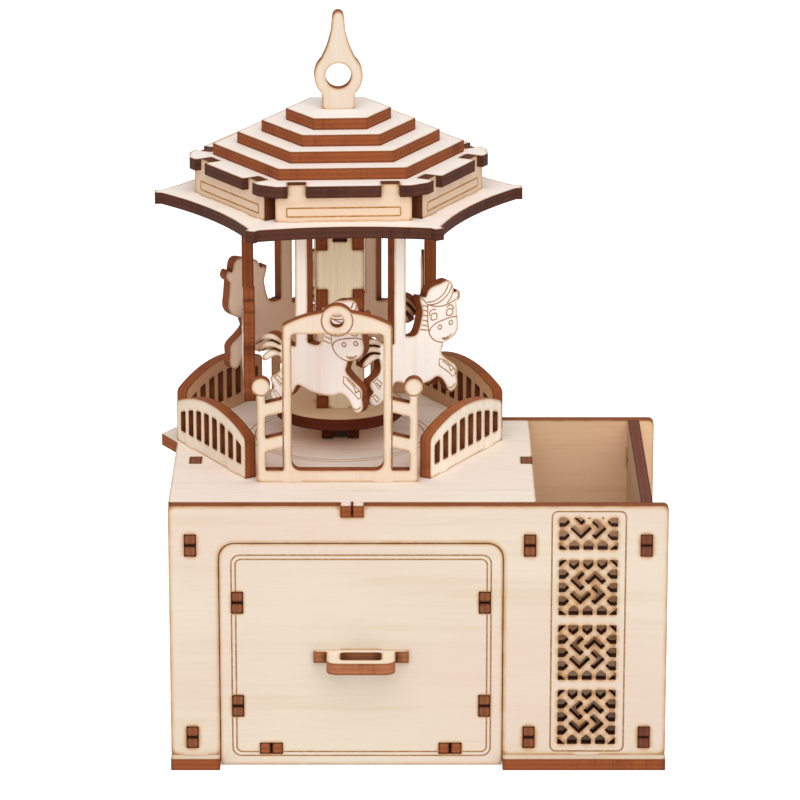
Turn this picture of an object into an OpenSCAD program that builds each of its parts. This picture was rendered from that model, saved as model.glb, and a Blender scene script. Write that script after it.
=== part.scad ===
// Carousel music box: a laser-cut plywood box with a drawer and a pen bay, and a
// six-horse carousel with a stepped roof that turns on a musical movement.
// Frame: origin on the underside of the bottom board, at its centre.
// +X right, +Y back, +Z up. Every board is cut from sheet of one thickness.

/* [Sheet] */
// Thickness of the plywood sheet
sheet_t = 2.7; // [2.4:0.1:3]
// Length of a joint tab along its edge
tab_len = 5.2; // [4:0.1:6]
// Play between a tab and its slot, all round
slot_fit = 0.05; // [0.02:0.01:0.1]
// Width of the slit that lets a tab spring
slit_w = 0.4; // [0.2:0.1:0.6]
// Depth of that slit from the tab's end
slit_len = 7; // [4:0.5:9]

/* [Box] */
// Width of the front and back panels
box_w = 113; // [108:0.5:125]
// Depth of the bottom board
base_d = 70; // [66:0.5:80]
// Height of the box over the bottom board's underside
box_h = 62.8; // [60:0.2:72]
// Corner radius of the front and back panels
panel_corner_r = 1.2; // [0.6:0.1:2]
// Distance from the panel's edge to a side panel's outer face
side_inset = 3.55; // [2:0.05:5]
// Width of the pen bay between divider and right side panel
pen_bay_w = 23.65; // [20:0.05:26]
// Height of the lower joint tab's middle over the bottom board
tab_low = 4.35; // [4:0.05:8]
// Distance from the upper joint tab's middle down to the box's top
tab_high = 9.4; // [8:0.1:14]

/* [Lattice] */
// Side of one lattice window
window_w = 13.2; // [12:0.1:14]
// Distance between the middles of two windows
window_pitch = 15.67; // [15:0.01:16]
// Height of the lowest window's middle over the bottom board
window_low = 9.3; // [8:0.1:11]
// Height of the rim over the cut-off top window
window_top_h = 2.79; // [2.4:0.01:4.4]
// Width of a lattice bar
lattice_bar = 0.95; // [0.8:0.05:1.2]
// Width of a chevron's arm
chevron_w = 1.25; // [1:0.05:1.4]

/* [Drawer] */
// Room between the drawer front's edge and the boards that stand beside it
drawer_room = 4.975; // [4.075:0.025:7.075]
// How far the drawer lies right of the middle between those boards
drawer_shift = 0.175; // [-0.325:0.025:0.675]
// Distance from the box's top down to the drawer front's top
drawer_top = 9; // [6.8:0.1:12.8]
// Gap round the drawer front
drawer_gap = 0.2; // [0.15:0.05:0.4]
// Corner radius of the drawer front
drawer_corner_r = 3.4; // [2:0.1:5]
// Distance from the drawer front's edge to a drawer side's outer face
drawer_side_inset = 2.65; // [2:0.05:3.5]
// From the left side board's inner face to the middle of the bottom board's tab
drawer_foot_left = 6.15; // [4:0.05:9]
// From the right side board's inner face to the middle of the bottom board's tab
drawer_foot_right = 6.45; // [4:0.05:9]
// Height of the drawer's bottom board over the box's
drawer_lift = 0.3; // [0.2:0.05:0.5]
// Height of the drawer front over the tall front part of its sides
drawer_side_h = 5.8; // [3.8:0.1:6.8]
// Height of that part over the low rear part and the drawer back
drawer_rear_h = 11; // [9:0.5:15]
// Length of the tall front part of a drawer side
drawer_tall_len = 20; // [12:0.5:22]
// Height of the handle's middle
handle_z = 26.95; // [20:0.05:32]
// How far the handle sticks out
handle_reach = 9.1; // [8:0.1:14]
// Width of the handle loop
handle_w = 15.6; // [14:0.1:20]

/* [Platform] */
// Corner radius (circumradius) of the hexagonal platform
platform_r = 42.1; // [40:0.1:45]
// Distance from the carousel axis to the divider
axis_right = 42.3; // [40.9:0.1:42.9]
// Distance from the carousel axis to the back of the box
axis_back = 13.3; // [13:0.1:15]
// Distance from the platform's edge to the fence
fence_inset = 0.9; // [0.5:0.1:2]
// Length of one fence
fence_w = 34; // [32:0.5:35]
// Height of a fence at its ends
fence_end_h = 9.7; // [8:0.1:12]
// Rise of the fence's curved top
fence_rise = 3.7; // [2:0.1:5]
// How far a front side fence lies towards the gate
fence_shift = 2.2; // [1:0.1:2.5]
// How far a back side fence lies towards the back
fence_back_shift = 1.5; // [0:0.1:1.8]
// Width of one slot of the fence
fence_slot_w = 2.25; // [1.8:0.05:2.6]

/* [Gate] */
// Width of the gate over its posts
gate_w = 36.7; // [35:0.1:37.5]
// Width of the door frame
door_w = 24.8; // [23:0.1:26]
// Width of the frame's bars and of the posts
gate_bar = 1.9; // [1.5:0.1:2.4]
// How far the gate stands out before the fences' line
gate_out = 1.2; // [0:0.1:2]
// Height of the gate's bottom bar
gate_sill_h = 2.8; // [2:0.1:4]
// Height of the door opening's top over the platform
door_h = 35.3; // [30:0.1:40]
// Height of a post's ball over the platform
post_h = 22.7; // [20:0.1:26]
// Height of the lower rung between door frame and post
rung_low = 6.9; // [5:0.1:9]
// Distance from the lower to the upper rung
rung_pitch = 8.4; // [6:0.1:9]
// Radius of a post's ball
ball_r = 2.1; // [1.8:0.05:2.6]
// Radius of the round medallion
medallion_r = 3.65; // [3:0.05:4.5]

/* [Carousel] */
// Angle by which the carousel stands turned
turn = 2.9; // [0:0.1:20]
// Gap between the platform and the turning hub
spin_gap = 0.3; // [0.2:0.05:0.5]
// Height of the hub under the turntable
hub_h = 5.1; // [5:0.05:7]
// Width of the hub
hub_w = 8.8; // [8.8:0.1:10]
// Radius of the turntable disc
disc_r = 14.9; // [13:0.1:16]
// Outer width of the square column
column_w = 11.3; // [11:0.1:12.5]
// Height of the column between disc and eave
column_h = 48.95; // [46:0.05:56]
// Distance from the axis to a horse plate's outer face
horse_r = 22.8; // [21:0.1:23.5]
// Distance from the eave down to a horse's hoofs
horse_drop = 43.6; // [42:0.1:44]
// Width of the pole above a horse
pole_w = 3.2; // [2.6:0.1:4]

/* [Roof] */
// Distance from the axis to the ends of the eave's corner knobs
eave_r = 42.8; // [42:0.1:46]
// Width of a corner knob
eave_knob_w = 2.5; // [2:0.1:4]
// Distance from the axis to the middle of an eave edge
eave_mid_r = 34.2; // [33:0.1:36]
// Radius of the hollow eave edge
eave_curve_r = 88; // [75:0.5:110]
// Distance from the axis to a skirt panel's outer face
skirt_r = 29.6; // [29:0.1:30]
// Gap between the inner corners of two skirt panels
skirt_gap = 0.1; // [0.05:0.05:0.5]
// Height of the skirt between eave and ring board
skirt_h = 5.95; // [5:0.05:8]
// Distance from the axis to the ring board's edge
ring_edge_r = 31.1; // [31:0.1:33]
// Distance from the axis to the ring board's cut corners
ring_corner_r = 34.6; // [34:0.1:37]
// Circumradius of the topmost roof tier
tier_top_r = 12.2; // [10:0.1:14]
// Growth of circumradius from one tier to the next
tier_step = 5.65; // [4:0.05:6]
// Height of the finial over the top tier
finial_h = 23; // [20:0.1:30]
// Outer radius of the finial's ring
finial_ring_r = 5.6; // [5:0.1:6.5]
// Radius of the hole in the finial's ring
finial_hole_r = 3; // [2:0.1:3.6]

/* [Movement] */
// Length of the movement's bedplate
bed_l = 50; // [49:0.5:51]
// Width of the movement's bedplate
bed_w = 36; // [34:0.5:37]
// Thickness of the bedplate
bed_t = 1.4; // [1:0.1:2]
// Distance from the spindle to the bedplate's near edge
bed_edge = 10.3; // [10.2:0.1:10.4]
// Radius of the spring housing
housing_r = 9.9; // [9:0.1:10]
// Height of the spring housing
housing_h = 11.5; // [10:0.1:12]
// Diameter of the spindle
spindle_d = 3; // [2.5:0.1:3.4]
// Radial play of the spindle in its bearings
spindle_play = 0.05; // [0.02:0.01:0.1]
// Radius of the pinned cylinder
drum_r = 6.4; // [5.5:0.1:6.8]
// Length of the pinned cylinder
drum_l = 20.4; // [20:0.1:21]
// Distance from the bedplate down to the pinned cylinder's axis
drum_drop = 7.8; // [7.6:0.1:8.6]
// Diameter of the pinned cylinder's axle
axle_d = 2; // [1.5:0.1:2.5]
// Radial play of that axle in its lugs
axle_play = 0.03; // [0.02:0.01:0.1]
// Number of teeth on the comb
comb_teeth = 18; // [12:1:22]
// Length of the comb's teeth
comb_tooth_l = 9; // [7:0.5:10]
// Gap between the comb's tips and the cylinder's pins
comb_gap = 0.3; // [0.2:0.1:0.6]
// Height of a pin over the cylinder
pin_h = 0.5; // [0.3:0.1:0.7]

/* [Hidden] */
$fn = 64;

// Colours
WOOD = "BurlyWood";
WOOD_PALE = "Wheat";
WOOD_DARK = "Peru";
BRASS = "Gold";
STEEL = "Silver";
ZINC = "LightSlateGray";

// A hair that lets a cutting shape pass a face
eps = 0.01;

// The box
half_w = box_w / 2;
lip = sheet_t;
front_y = -base_d / 2 + lip;
back_y = base_d / 2;
in_front_y = front_y + sheet_t;
in_back_y = back_y - sheet_t;
mid_y = (in_front_y + in_back_y) / 2;
plate_z = box_h - sheet_t;
left_x = -half_w + side_inset;
right_x = half_w - side_inset - sheet_t;
divider_x = right_x - pen_bay_w - sheet_t;
drawer_w = divider_x - left_x - sheet_t - 2 * drawer_room;
drawer_x = (left_x + sheet_t + divider_x) / 2 + drawer_shift;
pen_bay_x = right_x - pen_bay_w / 2;
low_tab_z = sheet_t + tab_low;
high_tab_z = box_h - tab_high;
top_tab_x = (-half_w + divider_x + sheet_t) / 2;
top_slit_len = sheet_t + 0.5;
window_top_z = box_h - window_top_h;
foot_left_x = (-half_w + drawer_x - drawer_w / 2 - drawer_gap) / 2;

// The platform and its fences
axis_x = divider_x - axis_right;
axis_y = back_y - axis_back;
fence_r = platform_r * cos(30) - fence_inset;
gate_r = fence_r + gate_out;
fence_pitch = fence_slot_w * 1.75;
fence_slots = 8;
fence_rail_h = 3;
fence_cap_h = 2.9;
fence_corner_r = 1.5;
foot_tab_w = 4.1;
foot_tab_s = 10.45;
back_step_x = axis_x + platform_r - (in_back_y - axis_y) / tan(60) + 0.4;

// Heights of the carousel
hub_z = box_h + spin_gap;
disc_z = hub_z + hub_h;
column_z = disc_z + sheet_t;
eave_z = column_z + column_h;
skirt_z = eave_z + sheet_t;
ring_z = skirt_z + skirt_h;
tier_z = ring_z + sheet_t;
tiers = 4;
finial_z = tier_z + tiers * sheet_t;
col_half = column_w / 2;
col_in = col_half - sheet_t;
col_tab_high = 7.9;
col_tab_mid = 22.6;
col_foot_h = 3.05;
pole_s = 2.2;
pole_foot_h = 12;
skirt_w = 2 * (skirt_r - sheet_t) * tan(30) - skirt_gap;
skirt_tab_w = 4.1;
skirt_tab_s = 10.6;
finial_foot_w = 7.5;
finial_ring_z = 7.8;

// The drawer
drawer_half = drawer_w / 2;
drawer_in_x = drawer_half - drawer_side_inset;
drawer_z = sheet_t + drawer_lift;
drawer_back_y = in_back_y - 0.3;
drawer_top_z = box_h - drawer_top;
drawer_tall_z = drawer_top_z - drawer_side_h;
drawer_rear_z = drawer_tall_z - drawer_rear_h;
drawer_tab_low = 11.7;
drawer_tab_high = 8.3;
drawer_back_tab_high = 8;
drawer_side_z = [drawer_z + drawer_tab_low, drawer_tall_z - drawer_tab_high];
drawer_back_z = [drawer_z + drawer_tab_low, drawer_rear_z - drawer_back_tab_high];
drawer_foot_z = 0.4;
drawer_foot_half = drawer_in_x - sheet_t;
drawer_foot_s = [drawer_foot_left - drawer_foot_half, drawer_foot_half - drawer_foot_right];
handle_ear_w = 21.7;
handle_ear_d = 1.2;
handle_tail_w = 9.4;
handle_hole_d = 5;
handle_rim = 1.7;
runner_w = sheet_t;
runner_h = 6;
runner_gap = 0.3;

// The movement
bed_z = plate_z - bed_t;
spindle_r = spindle_d / 2;
bore_r = spindle_r + spindle_play;
spindle_gap = 0.5;
spindle_top = 3;
key_d = 6.4;
key_play = 0.2;
nut_h = 2;
nut_play = 0.35;
housing_floor = 4;
housing_cap_h = 0.8;
spindle_foot_z = bed_z - housing_h + housing_floor + spindle_gap;
drum_gap = 2.3;
drum_x = housing_r + drum_gap;
drum_z = bed_z - drum_drop;
lug_t = 1.2;
lug_w = 5;
lug_gap = 0.6;
gear_r = drum_r + 0.6;
gear_t = 1.5;
gear_teeth = 30;
comb_t = 1;
comb_back = 7.5;
comb_pitch = (drum_l - gear_t) / comb_teeth;
comb_tip_y = -(drum_r + pin_h + comb_gap);
comb_root_y = comb_tip_y - comb_tooth_l;
seat_d = 6.6;
comb_screw_x = [4, 14.5];
comb_screw_y = comb_root_y - comb_back / 2;
screw_r = 1;
screw_head_r = 1.9;
governor = [6.6, 13.5, 12.4];
governor_gap = 1.5;
governor_rim = 0.5;
governor_x = drum_x + drum_l - gear_t + governor_gap;
bed_right = governor_x + governor[0] + governor_rim;
bed_left = bed_right - bed_l;
bed_far = bed_edge - bed_w;
bed_screw_r = 0.8;
screw_hole_h = 2;
screw_end_gap = 0.2;
bed_screws = [[bed_left + 3.3, bed_far + 8.7], [drum_x - 4.2, bed_far + 5.2],
    [bed_right - 2.7, -4.5]];

// ---------------------------------------------------------------- helpers

// A board lying flat: 2D (x, y), from height z up
module flat_board(z) {
    translate([0, 0, z]) linear_extrude(sheet_t) children();
}

// A board facing front: 2D (x, z), outer face at y
module front_board(y) {
    translate([0, y + sheet_t, 0]) rotate([90, 0, 0]) linear_extrude(sheet_t) children();
}

// A board facing sideways: 2D (y, z), from x to the right
module side_board(x) {
    translate([x, 0, 0]) rotate([90, 0, 90]) linear_extrude(sheet_t) children();
}

// A 2D rectangle from corner to corner
module rect(x0, y0, x1, y1) {
    translate([x0, y0]) square([x1 - x0, y1 - y0]);
}

// A 2D rectangle about its middle
module slot(x, y, w, h) {
    translate([x - w / 2, y - h / 2]) square([w, h]);
}

// A 2D rectangle with round corners
module round_rect(x0, y0, x1, y1, r) {
    rect(x0 + r, y0, x1 - r, y1);
    rect(x0, y0 + r, x1, y1 - r);
    for (x = [x0 + r, x1 - r])
        for (y = [y0 + r, y1 - r])
            translate([x, y]) circle(r);
}

// A 2D regular hexagon with corners on the X axis
module hexagon(r) {
    circle(r, $fn = 6);
}

// Place of the carousel's axis, not turned
module at_axis() {
    translate([axis_x, axis_y, 0]) children();
}

// Place of the carousel as it stands, turned about its axis
module at_carousel() {
    at_axis() rotate([0, 0, turn]) children();
}

// Points of a smooth closed curve through the points p, n to each stretch
function spline_at(a, b, c, d, t) =
    0.5 * (2 * b + (c - a) * t + (2 * a - 5 * b + 4 * c - d) * t * t
        + (3 * b - a - 3 * c + d) * t * t * t);
function smooth_loop(p, n) = [
    for (i = [0 : len(p) - 1])
        for (k = [0 : n - 1])
            spline_at(p[(i + len(p) - 1) % len(p)], p[i], p[(i + 1) % len(p)],
                p[(i + 2) % len(p)], k / n)];
function smooth_run(p, n) = concat([
    for (i = [0 : len(p) - 2])
        for (k = [0 : n - 1])
            spline_at(p[max(i - 1, 0)], p[i], p[i + 1], p[min(i + 2, len(p) - 1)], k / n)],
    [p[len(p) - 1]]);

// ---------------------------------------------------------------- box

// Slot for a tab, with its play
module tab_slot(x, y, w, h) {
    slot(x, y, w + 2 * slot_fit, h + 2 * slot_fit);
}

// The slots of the three upright boards in the front or back panel
module upright_slots() {
    for (x = [left_x, divider_x, right_x])
        for (z = [low_tab_z, high_tab_z])
            tab_slot(x + sheet_t / 2, z, sheet_t, tab_len);
}

// An upright board: 2D (y, z)
module upright_2d(top_z, top_tab) {
    difference() {
        union() {
            rect(in_front_y, sheet_t, in_back_y, top_z);
            for (z = [low_tab_z, high_tab_z])
                rect(front_y, z - tab_len / 2, back_y, z + tab_len / 2);
            slot(mid_y, sheet_t, tab_len, 2 * sheet_t);
            if (top_tab) slot(mid_y, top_z, tab_len, 2 * sheet_t);
        }
        for (z = [low_tab_z, high_tab_z]) {
            rect(front_y - eps, z - slit_w / 2, front_y + slit_len, z + slit_w / 2);
            rect(back_y - slit_len, z - slit_w / 2, back_y + eps, z + slit_w / 2);
        }
    }
}

// One chevron of the lattice, pointing up
module chevron(reach) {
    step = chevron_w / sqrt(2);
    polygon([[0, 0], [reach, -reach], [reach - step, -reach - step], [0, -2 * step],
        [-reach + step, -reach - step], [-reach, -reach]]);
}

// The openings of one lattice window, about its middle
module lattice_window() {
    half = window_w / 2;
    pitch = window_w * 0.243;
    house = pitch - lattice_bar;
    eaves = half * 0.79;
    point = half * 0.64;
    corner = window_w * 0.133;
    for (a = [0 : 90 : 270]) rotate(a) {
        translate([half * 0.255, half * 0.615]) chevron(half * 0.37);
        for (s = [-1 : 1])
            translate([s * pitch, 0])
                polygon([[-house / 2, half], [-house / 2, eaves], [0, point],
                    [house / 2, eaves], [house / 2, half]]);
        translate([half, half]) polygon([[0, 0], [-corner, 0], [0, -corner]]);
    }
}

// The column of lattice windows beside the pen bay
module lattice() {
    for (i = [0 : 2])
        translate([pen_bay_x, sheet_t + window_low + i * window_pitch]) lattice_window();
    intersection() {
        translate([pen_bay_x, sheet_t + window_low + 3 * window_pitch]) lattice_window();
        rect(pen_bay_x - window_w / 2, sheet_t, pen_bay_x + window_w / 2, window_top_z);
    }
}

// The arched opening for the drawer
module drawer_opening() {
    r = drawer_corner_r + drawer_gap;
    x0 = drawer_x - drawer_half - drawer_gap;
    x1 = drawer_x + drawer_half + drawer_gap;
    top = drawer_top_z + drawer_gap;
    rect(x0, -eps, x1, top - r);
    rect(x0 + r, top - r - eps, x1 - r, top);
    for (x = [x0 + r, x1 - r])
        translate([x, top - r]) circle(r);
}

module front_panel() {
    color(WOOD) front_board(front_y) difference() {
        union() {
            round_rect(-half_w, sheet_t, half_w, box_h, panel_corner_r);
            for (x = [foot_left_x, pen_bay_x])
                slot(x, sheet_t, tab_len, 2 * sheet_t);
        }
        drawer_opening();
        upright_slots();
        lattice();
        tab_slot(top_tab_x, box_h - sheet_t / 2 + eps, tab_len, sheet_t);
    }
}

module back_panel() {
    color(WOOD) front_board(in_back_y) difference() {
        union() {
            round_rect(-half_w, sheet_t, half_w, box_h, panel_corner_r);
            for (x = [foot_left_x, pen_bay_x])
                slot(x, sheet_t, tab_len, 2 * sheet_t);
        }
        upright_slots();
        rect(-half_w - eps, plate_z, back_step_x, box_h + eps);
    }
}

module bottom_board() {
    color(WOOD_PALE) flat_board(0) difference() {
        rect(-half_w, -base_d / 2, half_w, back_y);
        rect(drawer_x - drawer_half - drawer_gap, -base_d / 2 - eps,
            drawer_x + drawer_half + drawer_gap, in_front_y + drawer_gap);
        for (x = [foot_left_x, pen_bay_x]) {
            tab_slot(x, front_y + sheet_t / 2, tab_len, sheet_t);
            tab_slot(x, in_back_y + sheet_t / 2, tab_len, sheet_t);
        }
        for (x = [left_x, divider_x, right_x])
            tab_slot(x + sheet_t / 2, mid_y, sheet_t, tab_len);
    }
}

module left_side_panel() {
    color(WOOD) side_board(left_x) upright_2d(plate_z, true);
}

module divider_panel() {
    color(WOOD) side_board(divider_x) upright_2d(plate_z, true);
}

module right_side_panel() {
    color(WOOD) side_board(right_x) upright_2d(box_h, false);
}

// The two slots of the gate or fence on side k, whose outer face is at radius r
module foot_slots(k, r) {
    for (s = [-foot_tab_s, foot_tab_s])
        rotate(60 * k) tab_slot(shift_of(k) + s, -r + sheet_t / 2, foot_tab_w, sheet_t);
}

// The shift of the fence on side k, counted from the gate at 0
function shift_of(k) = k == 1 ? -fence_shift : k == 5 ? fence_shift
    : k == 2 ? fence_back_shift : k == 4 ? -fence_back_shift : 0;

module top_plate_2d() {
    difference() {
        union() {
            rect(-half_w, in_front_y, divider_x + sheet_t, in_back_y);
            rect(-half_w, in_front_y, axis_x, back_y);
            rect(top_tab_x - tab_len / 2, front_y, top_tab_x + tab_len / 2, in_front_y + eps);
            translate([axis_x, axis_y]) hexagon(platform_r);
        }
        rect(top_tab_x - slit_w / 2, front_y - eps, top_tab_x + slit_w / 2, front_y + top_slit_len);
        tab_slot(left_x + sheet_t / 2, mid_y, sheet_t, tab_len);
        tab_slot(divider_x + sheet_t / 2 + eps, mid_y, sheet_t, tab_len);
        translate([axis_x, axis_y]) {
            circle(spindle_r + spindle_gap);
            foot_slots(0, gate_r);
            for (k = [1 : 5]) foot_slots(k, fence_r);
        }
    }
}

// The platform's board, with blind holes for the movement's screws in its underside
module top_plate() {
    color(WOOD_PALE) difference() {
        flat_board(plate_z) top_plate_2d();
        at_axis() for (p = bed_screws)
            translate([p[0], p[1], plate_z - eps])
                cylinder(h = screw_hole_h + eps, r = bed_screw_r + slot_fit);
    }
}

// Strips on the bottom board that keep the drawer straight
module drawer_runners() {
    color(WOOD) for (side = [-1, 1])
        translate([drawer_x + side * (drawer_in_x + runner_gap + runner_w / 2), 0, sheet_t])
            linear_extrude(runner_h)
                slot(0, (in_front_y + drawer_gap + in_back_y) / 2, runner_w,
                    in_back_y - in_front_y - drawer_gap);
}

// ---------------------------------------------------------------- gate and fences

// The two tabs that stand in the platform: 2D (s, z)
module foot_tabs(shift) {
    for (s = [-foot_tab_s, foot_tab_s])
        slot(shift + s, box_h, foot_tab_w, 2 * sheet_t);
}

// One side of the hexagon: k sides round from the gate
module on_side(k, r) {
    rotate([0, 0, 60 * k]) front_board(-r) children();
}

// A fence: 2D (s, z)
module fence_2d(shift) {
    half = fence_w / 2;
    mid_h = fence_end_h + fence_rise;
    arc_r = (half * half + fence_rise * fence_rise) / (2 * fence_rise);
    inner_r = arc_r - fence_corner_r;
    inner_s = half - fence_corner_r;
    corner_z = box_h + mid_h - arc_r + sqrt(inner_r * inner_r - inner_s * inner_s);
    meet_s = inner_s * arc_r / inner_r;
    difference() {
        union() {
            intersection() {
                rect(shift - meet_s, box_h, shift + meet_s, box_h + mid_h + 1);
                translate([shift, box_h + mid_h - arc_r]) circle(arc_r, $fn = 180);
            }
            rect(shift - half, box_h, shift + half, corner_z);
            for (side = [-1, 1])
                translate([shift + side * inner_s, corner_z]) circle(fence_corner_r);
        }
        intersection() {
            for (i = [0 : fence_slots - 1])
                rect(shift + (i - (fence_slots - 1) / 2) * fence_pitch - fence_slot_w / 2,
                    box_h + fence_rail_h,
                    shift + (i - (fence_slots - 1) / 2) * fence_pitch + fence_slot_w / 2,
                    box_h + mid_h);
            translate([shift, box_h + mid_h - arc_r]) circle(arc_r - fence_cap_h, $fn = 180);
        }
    }
    foot_tabs(shift);
}

module fence(k) {
    color(WOOD_PALE) at_axis() on_side(k, fence_r) fence_2d(shift_of(k));
}

module fence_front_right() { fence(1); }
module fence_back_right() { fence(2); }
module fence_back() { fence(3); }
module fence_back_left() { fence(4); }
module fence_front_left() { fence(5); }

// One slanted rung of the gate's ladder, on the right: 2D (s, z)
module rung(z) {
    rise = 1.4;
    rung_h = 3.1;
    inner = door_w / 2 - eps;
    outer = gate_w / 2 - eps;
    polygon([[inner, box_h + z + rise], [outer, box_h + z],
        [outer, box_h + z + rung_h], [inner, box_h + z + rung_h + rise]]);
}

module gate_2d() {
    half = gate_w / 2;
    door = door_w / 2;
    inner = door - gate_bar;
    lintel_z = box_h + door_h;
    corner_h = lintel_z + gate_bar;
    door_foot_r = 2;
    door_head_r = 0.7;
    arch_rise = 3.3;
    medallion_hole_r = 1.55;
    arch_r = (door * door + arch_rise * arch_rise) / (2 * arch_rise);
    medallion_z = corner_h + 1.2;
    difference() {
        union() {
            rect(-half, box_h, half, box_h + gate_sill_h);
            rect(-door, box_h, door, corner_h);
            intersection() {
                rect(-door, corner_h - eps, door, corner_h + arch_rise + 1);
                translate([0, corner_h + arch_rise - arch_r]) circle(arch_r, $fn = 120);
            }
            translate([0, medallion_z]) circle(medallion_r);
            for (side = [0, 1]) mirror([side, 0]) {
                rect(half - gate_bar, box_h, half, box_h + post_h);
                translate([half - gate_bar / 2, box_h + post_h]) circle(ball_r);
                for (i = [0, 1]) rung(rung_low + i * rung_pitch);
            }
        }
        round_rect(-inner, box_h + gate_sill_h, inner, lintel_z - 2 * door_foot_r, door_foot_r);
        round_rect(-inner, box_h + door_h / 2, inner, lintel_z, door_head_r);
        translate([0, medallion_z]) circle(medallion_hole_r);
    }
    foot_tabs(0);
}

module entrance_gate() {
    color(WOOD_PALE) at_axis() on_side(0, gate_r) gate_2d();
}

// ---------------------------------------------------------------- drawer

module drawer_front() {
    arch_z = drawer_top_z - drawer_corner_r;
    color(WOOD_PALE) front_board(front_y) difference() {
        union() {
            rect(drawer_x - drawer_half, drawer_foot_z, drawer_x + drawer_half, arch_z);
            rect(drawer_x - drawer_half + drawer_corner_r, arch_z - eps,
                drawer_x + drawer_half - drawer_corner_r, drawer_top_z);
            for (side = [-1, 1])
                translate([drawer_x + side * (drawer_half - drawer_corner_r), arch_z])
                    circle(drawer_corner_r);
        }
        for (side = [-1, 1])
            for (z = drawer_side_z)
                tab_slot(drawer_x + side * (drawer_in_x - sheet_t / 2), z, sheet_t, tab_len);
        for (s = drawer_foot_s)
            tab_slot(drawer_x + s, drawer_z + sheet_t / 2, tab_len, sheet_t);
        tab_slot(drawer_x, handle_z, handle_tail_w, sheet_t);
    }
}

// A drawer side: 2D (y, z), tall in front and low behind
module drawer_side_2d() {
    step_y = in_front_y + drawer_tall_len;
    step_r = 5;
    tall = drawer_tall_z;
    low = drawer_rear_z;
    end_y = drawer_back_y - sheet_t;
    difference() {
        union() {
            rect(in_front_y, drawer_z, end_y, low);
            rect(in_front_y, low - eps, step_y, tall);
            rect(step_y - eps, low - eps, step_y + step_r, low + step_r);
            for (z = drawer_side_z)
                rect(front_y, z - tab_len / 2, in_front_y + eps, z + tab_len / 2);
            for (z = drawer_back_z)
                rect(end_y - eps, z - tab_len / 2, drawer_back_y, z + tab_len / 2);
        }
        translate([step_y + step_r, low + step_r]) circle(step_r);
        for (z = drawer_side_z)
            rect(front_y - eps, z - slit_w / 2, front_y + slit_len, z + slit_w / 2);
        for (z = drawer_back_z)
            rect(drawer_back_y - slit_len, z - slit_w / 2, drawer_back_y + eps, z + slit_w / 2);
    }
}

module drawer_left_side() {
    color(WOOD) side_board(drawer_x - drawer_in_x) drawer_side_2d();
}

module drawer_right_side() {
    color(WOOD) side_board(drawer_x + drawer_in_x - sheet_t) drawer_side_2d();
}

module drawer_back() {
    color(WOOD) front_board(drawer_back_y - sheet_t) difference() {
        rect(drawer_x - drawer_in_x, drawer_z, drawer_x + drawer_in_x, drawer_rear_z);
        for (side = [-1, 1])
            for (z = drawer_back_z)
                tab_slot(drawer_x + side * (drawer_in_x - sheet_t / 2), z, sheet_t, tab_len);
        for (s = drawer_foot_s)
            tab_slot(drawer_x + s, drawer_z + sheet_t / 2, tab_len, sheet_t);
    }
}

module drawer_bottom() {
    half = drawer_in_x - sheet_t - slot_fit;
    color(WOOD) flat_board(drawer_z) difference() {
        union() {
            rect(drawer_x - half, in_front_y, drawer_x + half, drawer_back_y - sheet_t);
            for (s = drawer_foot_s)
                rect(drawer_x + s - tab_len / 2, front_y, drawer_x + s + tab_len / 2, drawer_back_y);
        }
        for (s = drawer_foot_s) {
            rect(drawer_x + s - slit_w / 2, front_y - eps, drawer_x + s + slit_w / 2,
                front_y + slit_len);
            rect(drawer_x + s - slit_w / 2, drawer_back_y - slit_len, drawer_x + s + slit_w / 2,
                drawer_back_y + eps);
        }
    }
}

module drawer_handle() {
    r = 2.5;
    y_out = front_y - handle_reach;
    color(WOOD_PALE) flat_board(handle_z - sheet_t / 2) difference() {
        union() {
            rect(drawer_x - handle_tail_w / 2, front_y - eps, drawer_x + handle_tail_w / 2, in_front_y);
            rect(drawer_x - handle_ear_w / 2, front_y - handle_ear_d, drawer_x + handle_ear_w / 2, front_y);
            rect(drawer_x - handle_w / 2, y_out + r, drawer_x + handle_w / 2, front_y);
            rect(drawer_x - handle_w / 2 + r, y_out, drawer_x + handle_w / 2 - r, y_out + r + eps);
            for (side = [-1, 1])
                translate([drawer_x + side * (handle_w / 2 - r), y_out + r]) circle(r);
        }
        round_rect(drawer_x - handle_tail_w / 2, front_y - handle_rim - handle_hole_d,
            drawer_x + handle_tail_w / 2, front_y - handle_rim, 0.8);
    }
}

// ---------------------------------------------------------------- carousel

// The spindle, with the flat drive key that stands between the hub's cheeks
module spindle() {
    key_w = hub_w - 2 * sheet_t - 2 * slot_fit;
    color(STEEL) at_carousel() {
        translate([0, 0, spindle_foot_z])
            cylinder(h = column_z + spindle_top - spindle_foot_z, r = spindle_r);
        translate([-key_w / 2, -key_d / 2, hub_z + key_play])
            cube([key_w, key_d, hub_h - 2 * key_play]);
        translate([0, 0, column_z]) cylinder(h = nut_h, r = col_in - nut_play, $fn = 6);
    }
}

// Two cheeks that grip the drive key under the disc
module drive_hub() {
    color(WOOD_DARK) at_carousel() for (side = [-1, 1])
        translate([side * (hub_w / 2 - sheet_t / 2), 0, hub_z])
            linear_extrude(hub_h) slot(0, 0, sheet_t, hub_w);
}

module turntable_disc() {
    color(WOOD_DARK) at_carousel() flat_board(disc_z) difference() {
        circle(disc_r);
        circle(bore_r);
        for (side = [-1, 1]) {
            tab_slot(0, side * (col_half - sheet_t / 2), 3.3, sheet_t);
            tab_slot(side * (col_half - sheet_t / 2), 0, sheet_t, 3.3);
        }
    }
}

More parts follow.
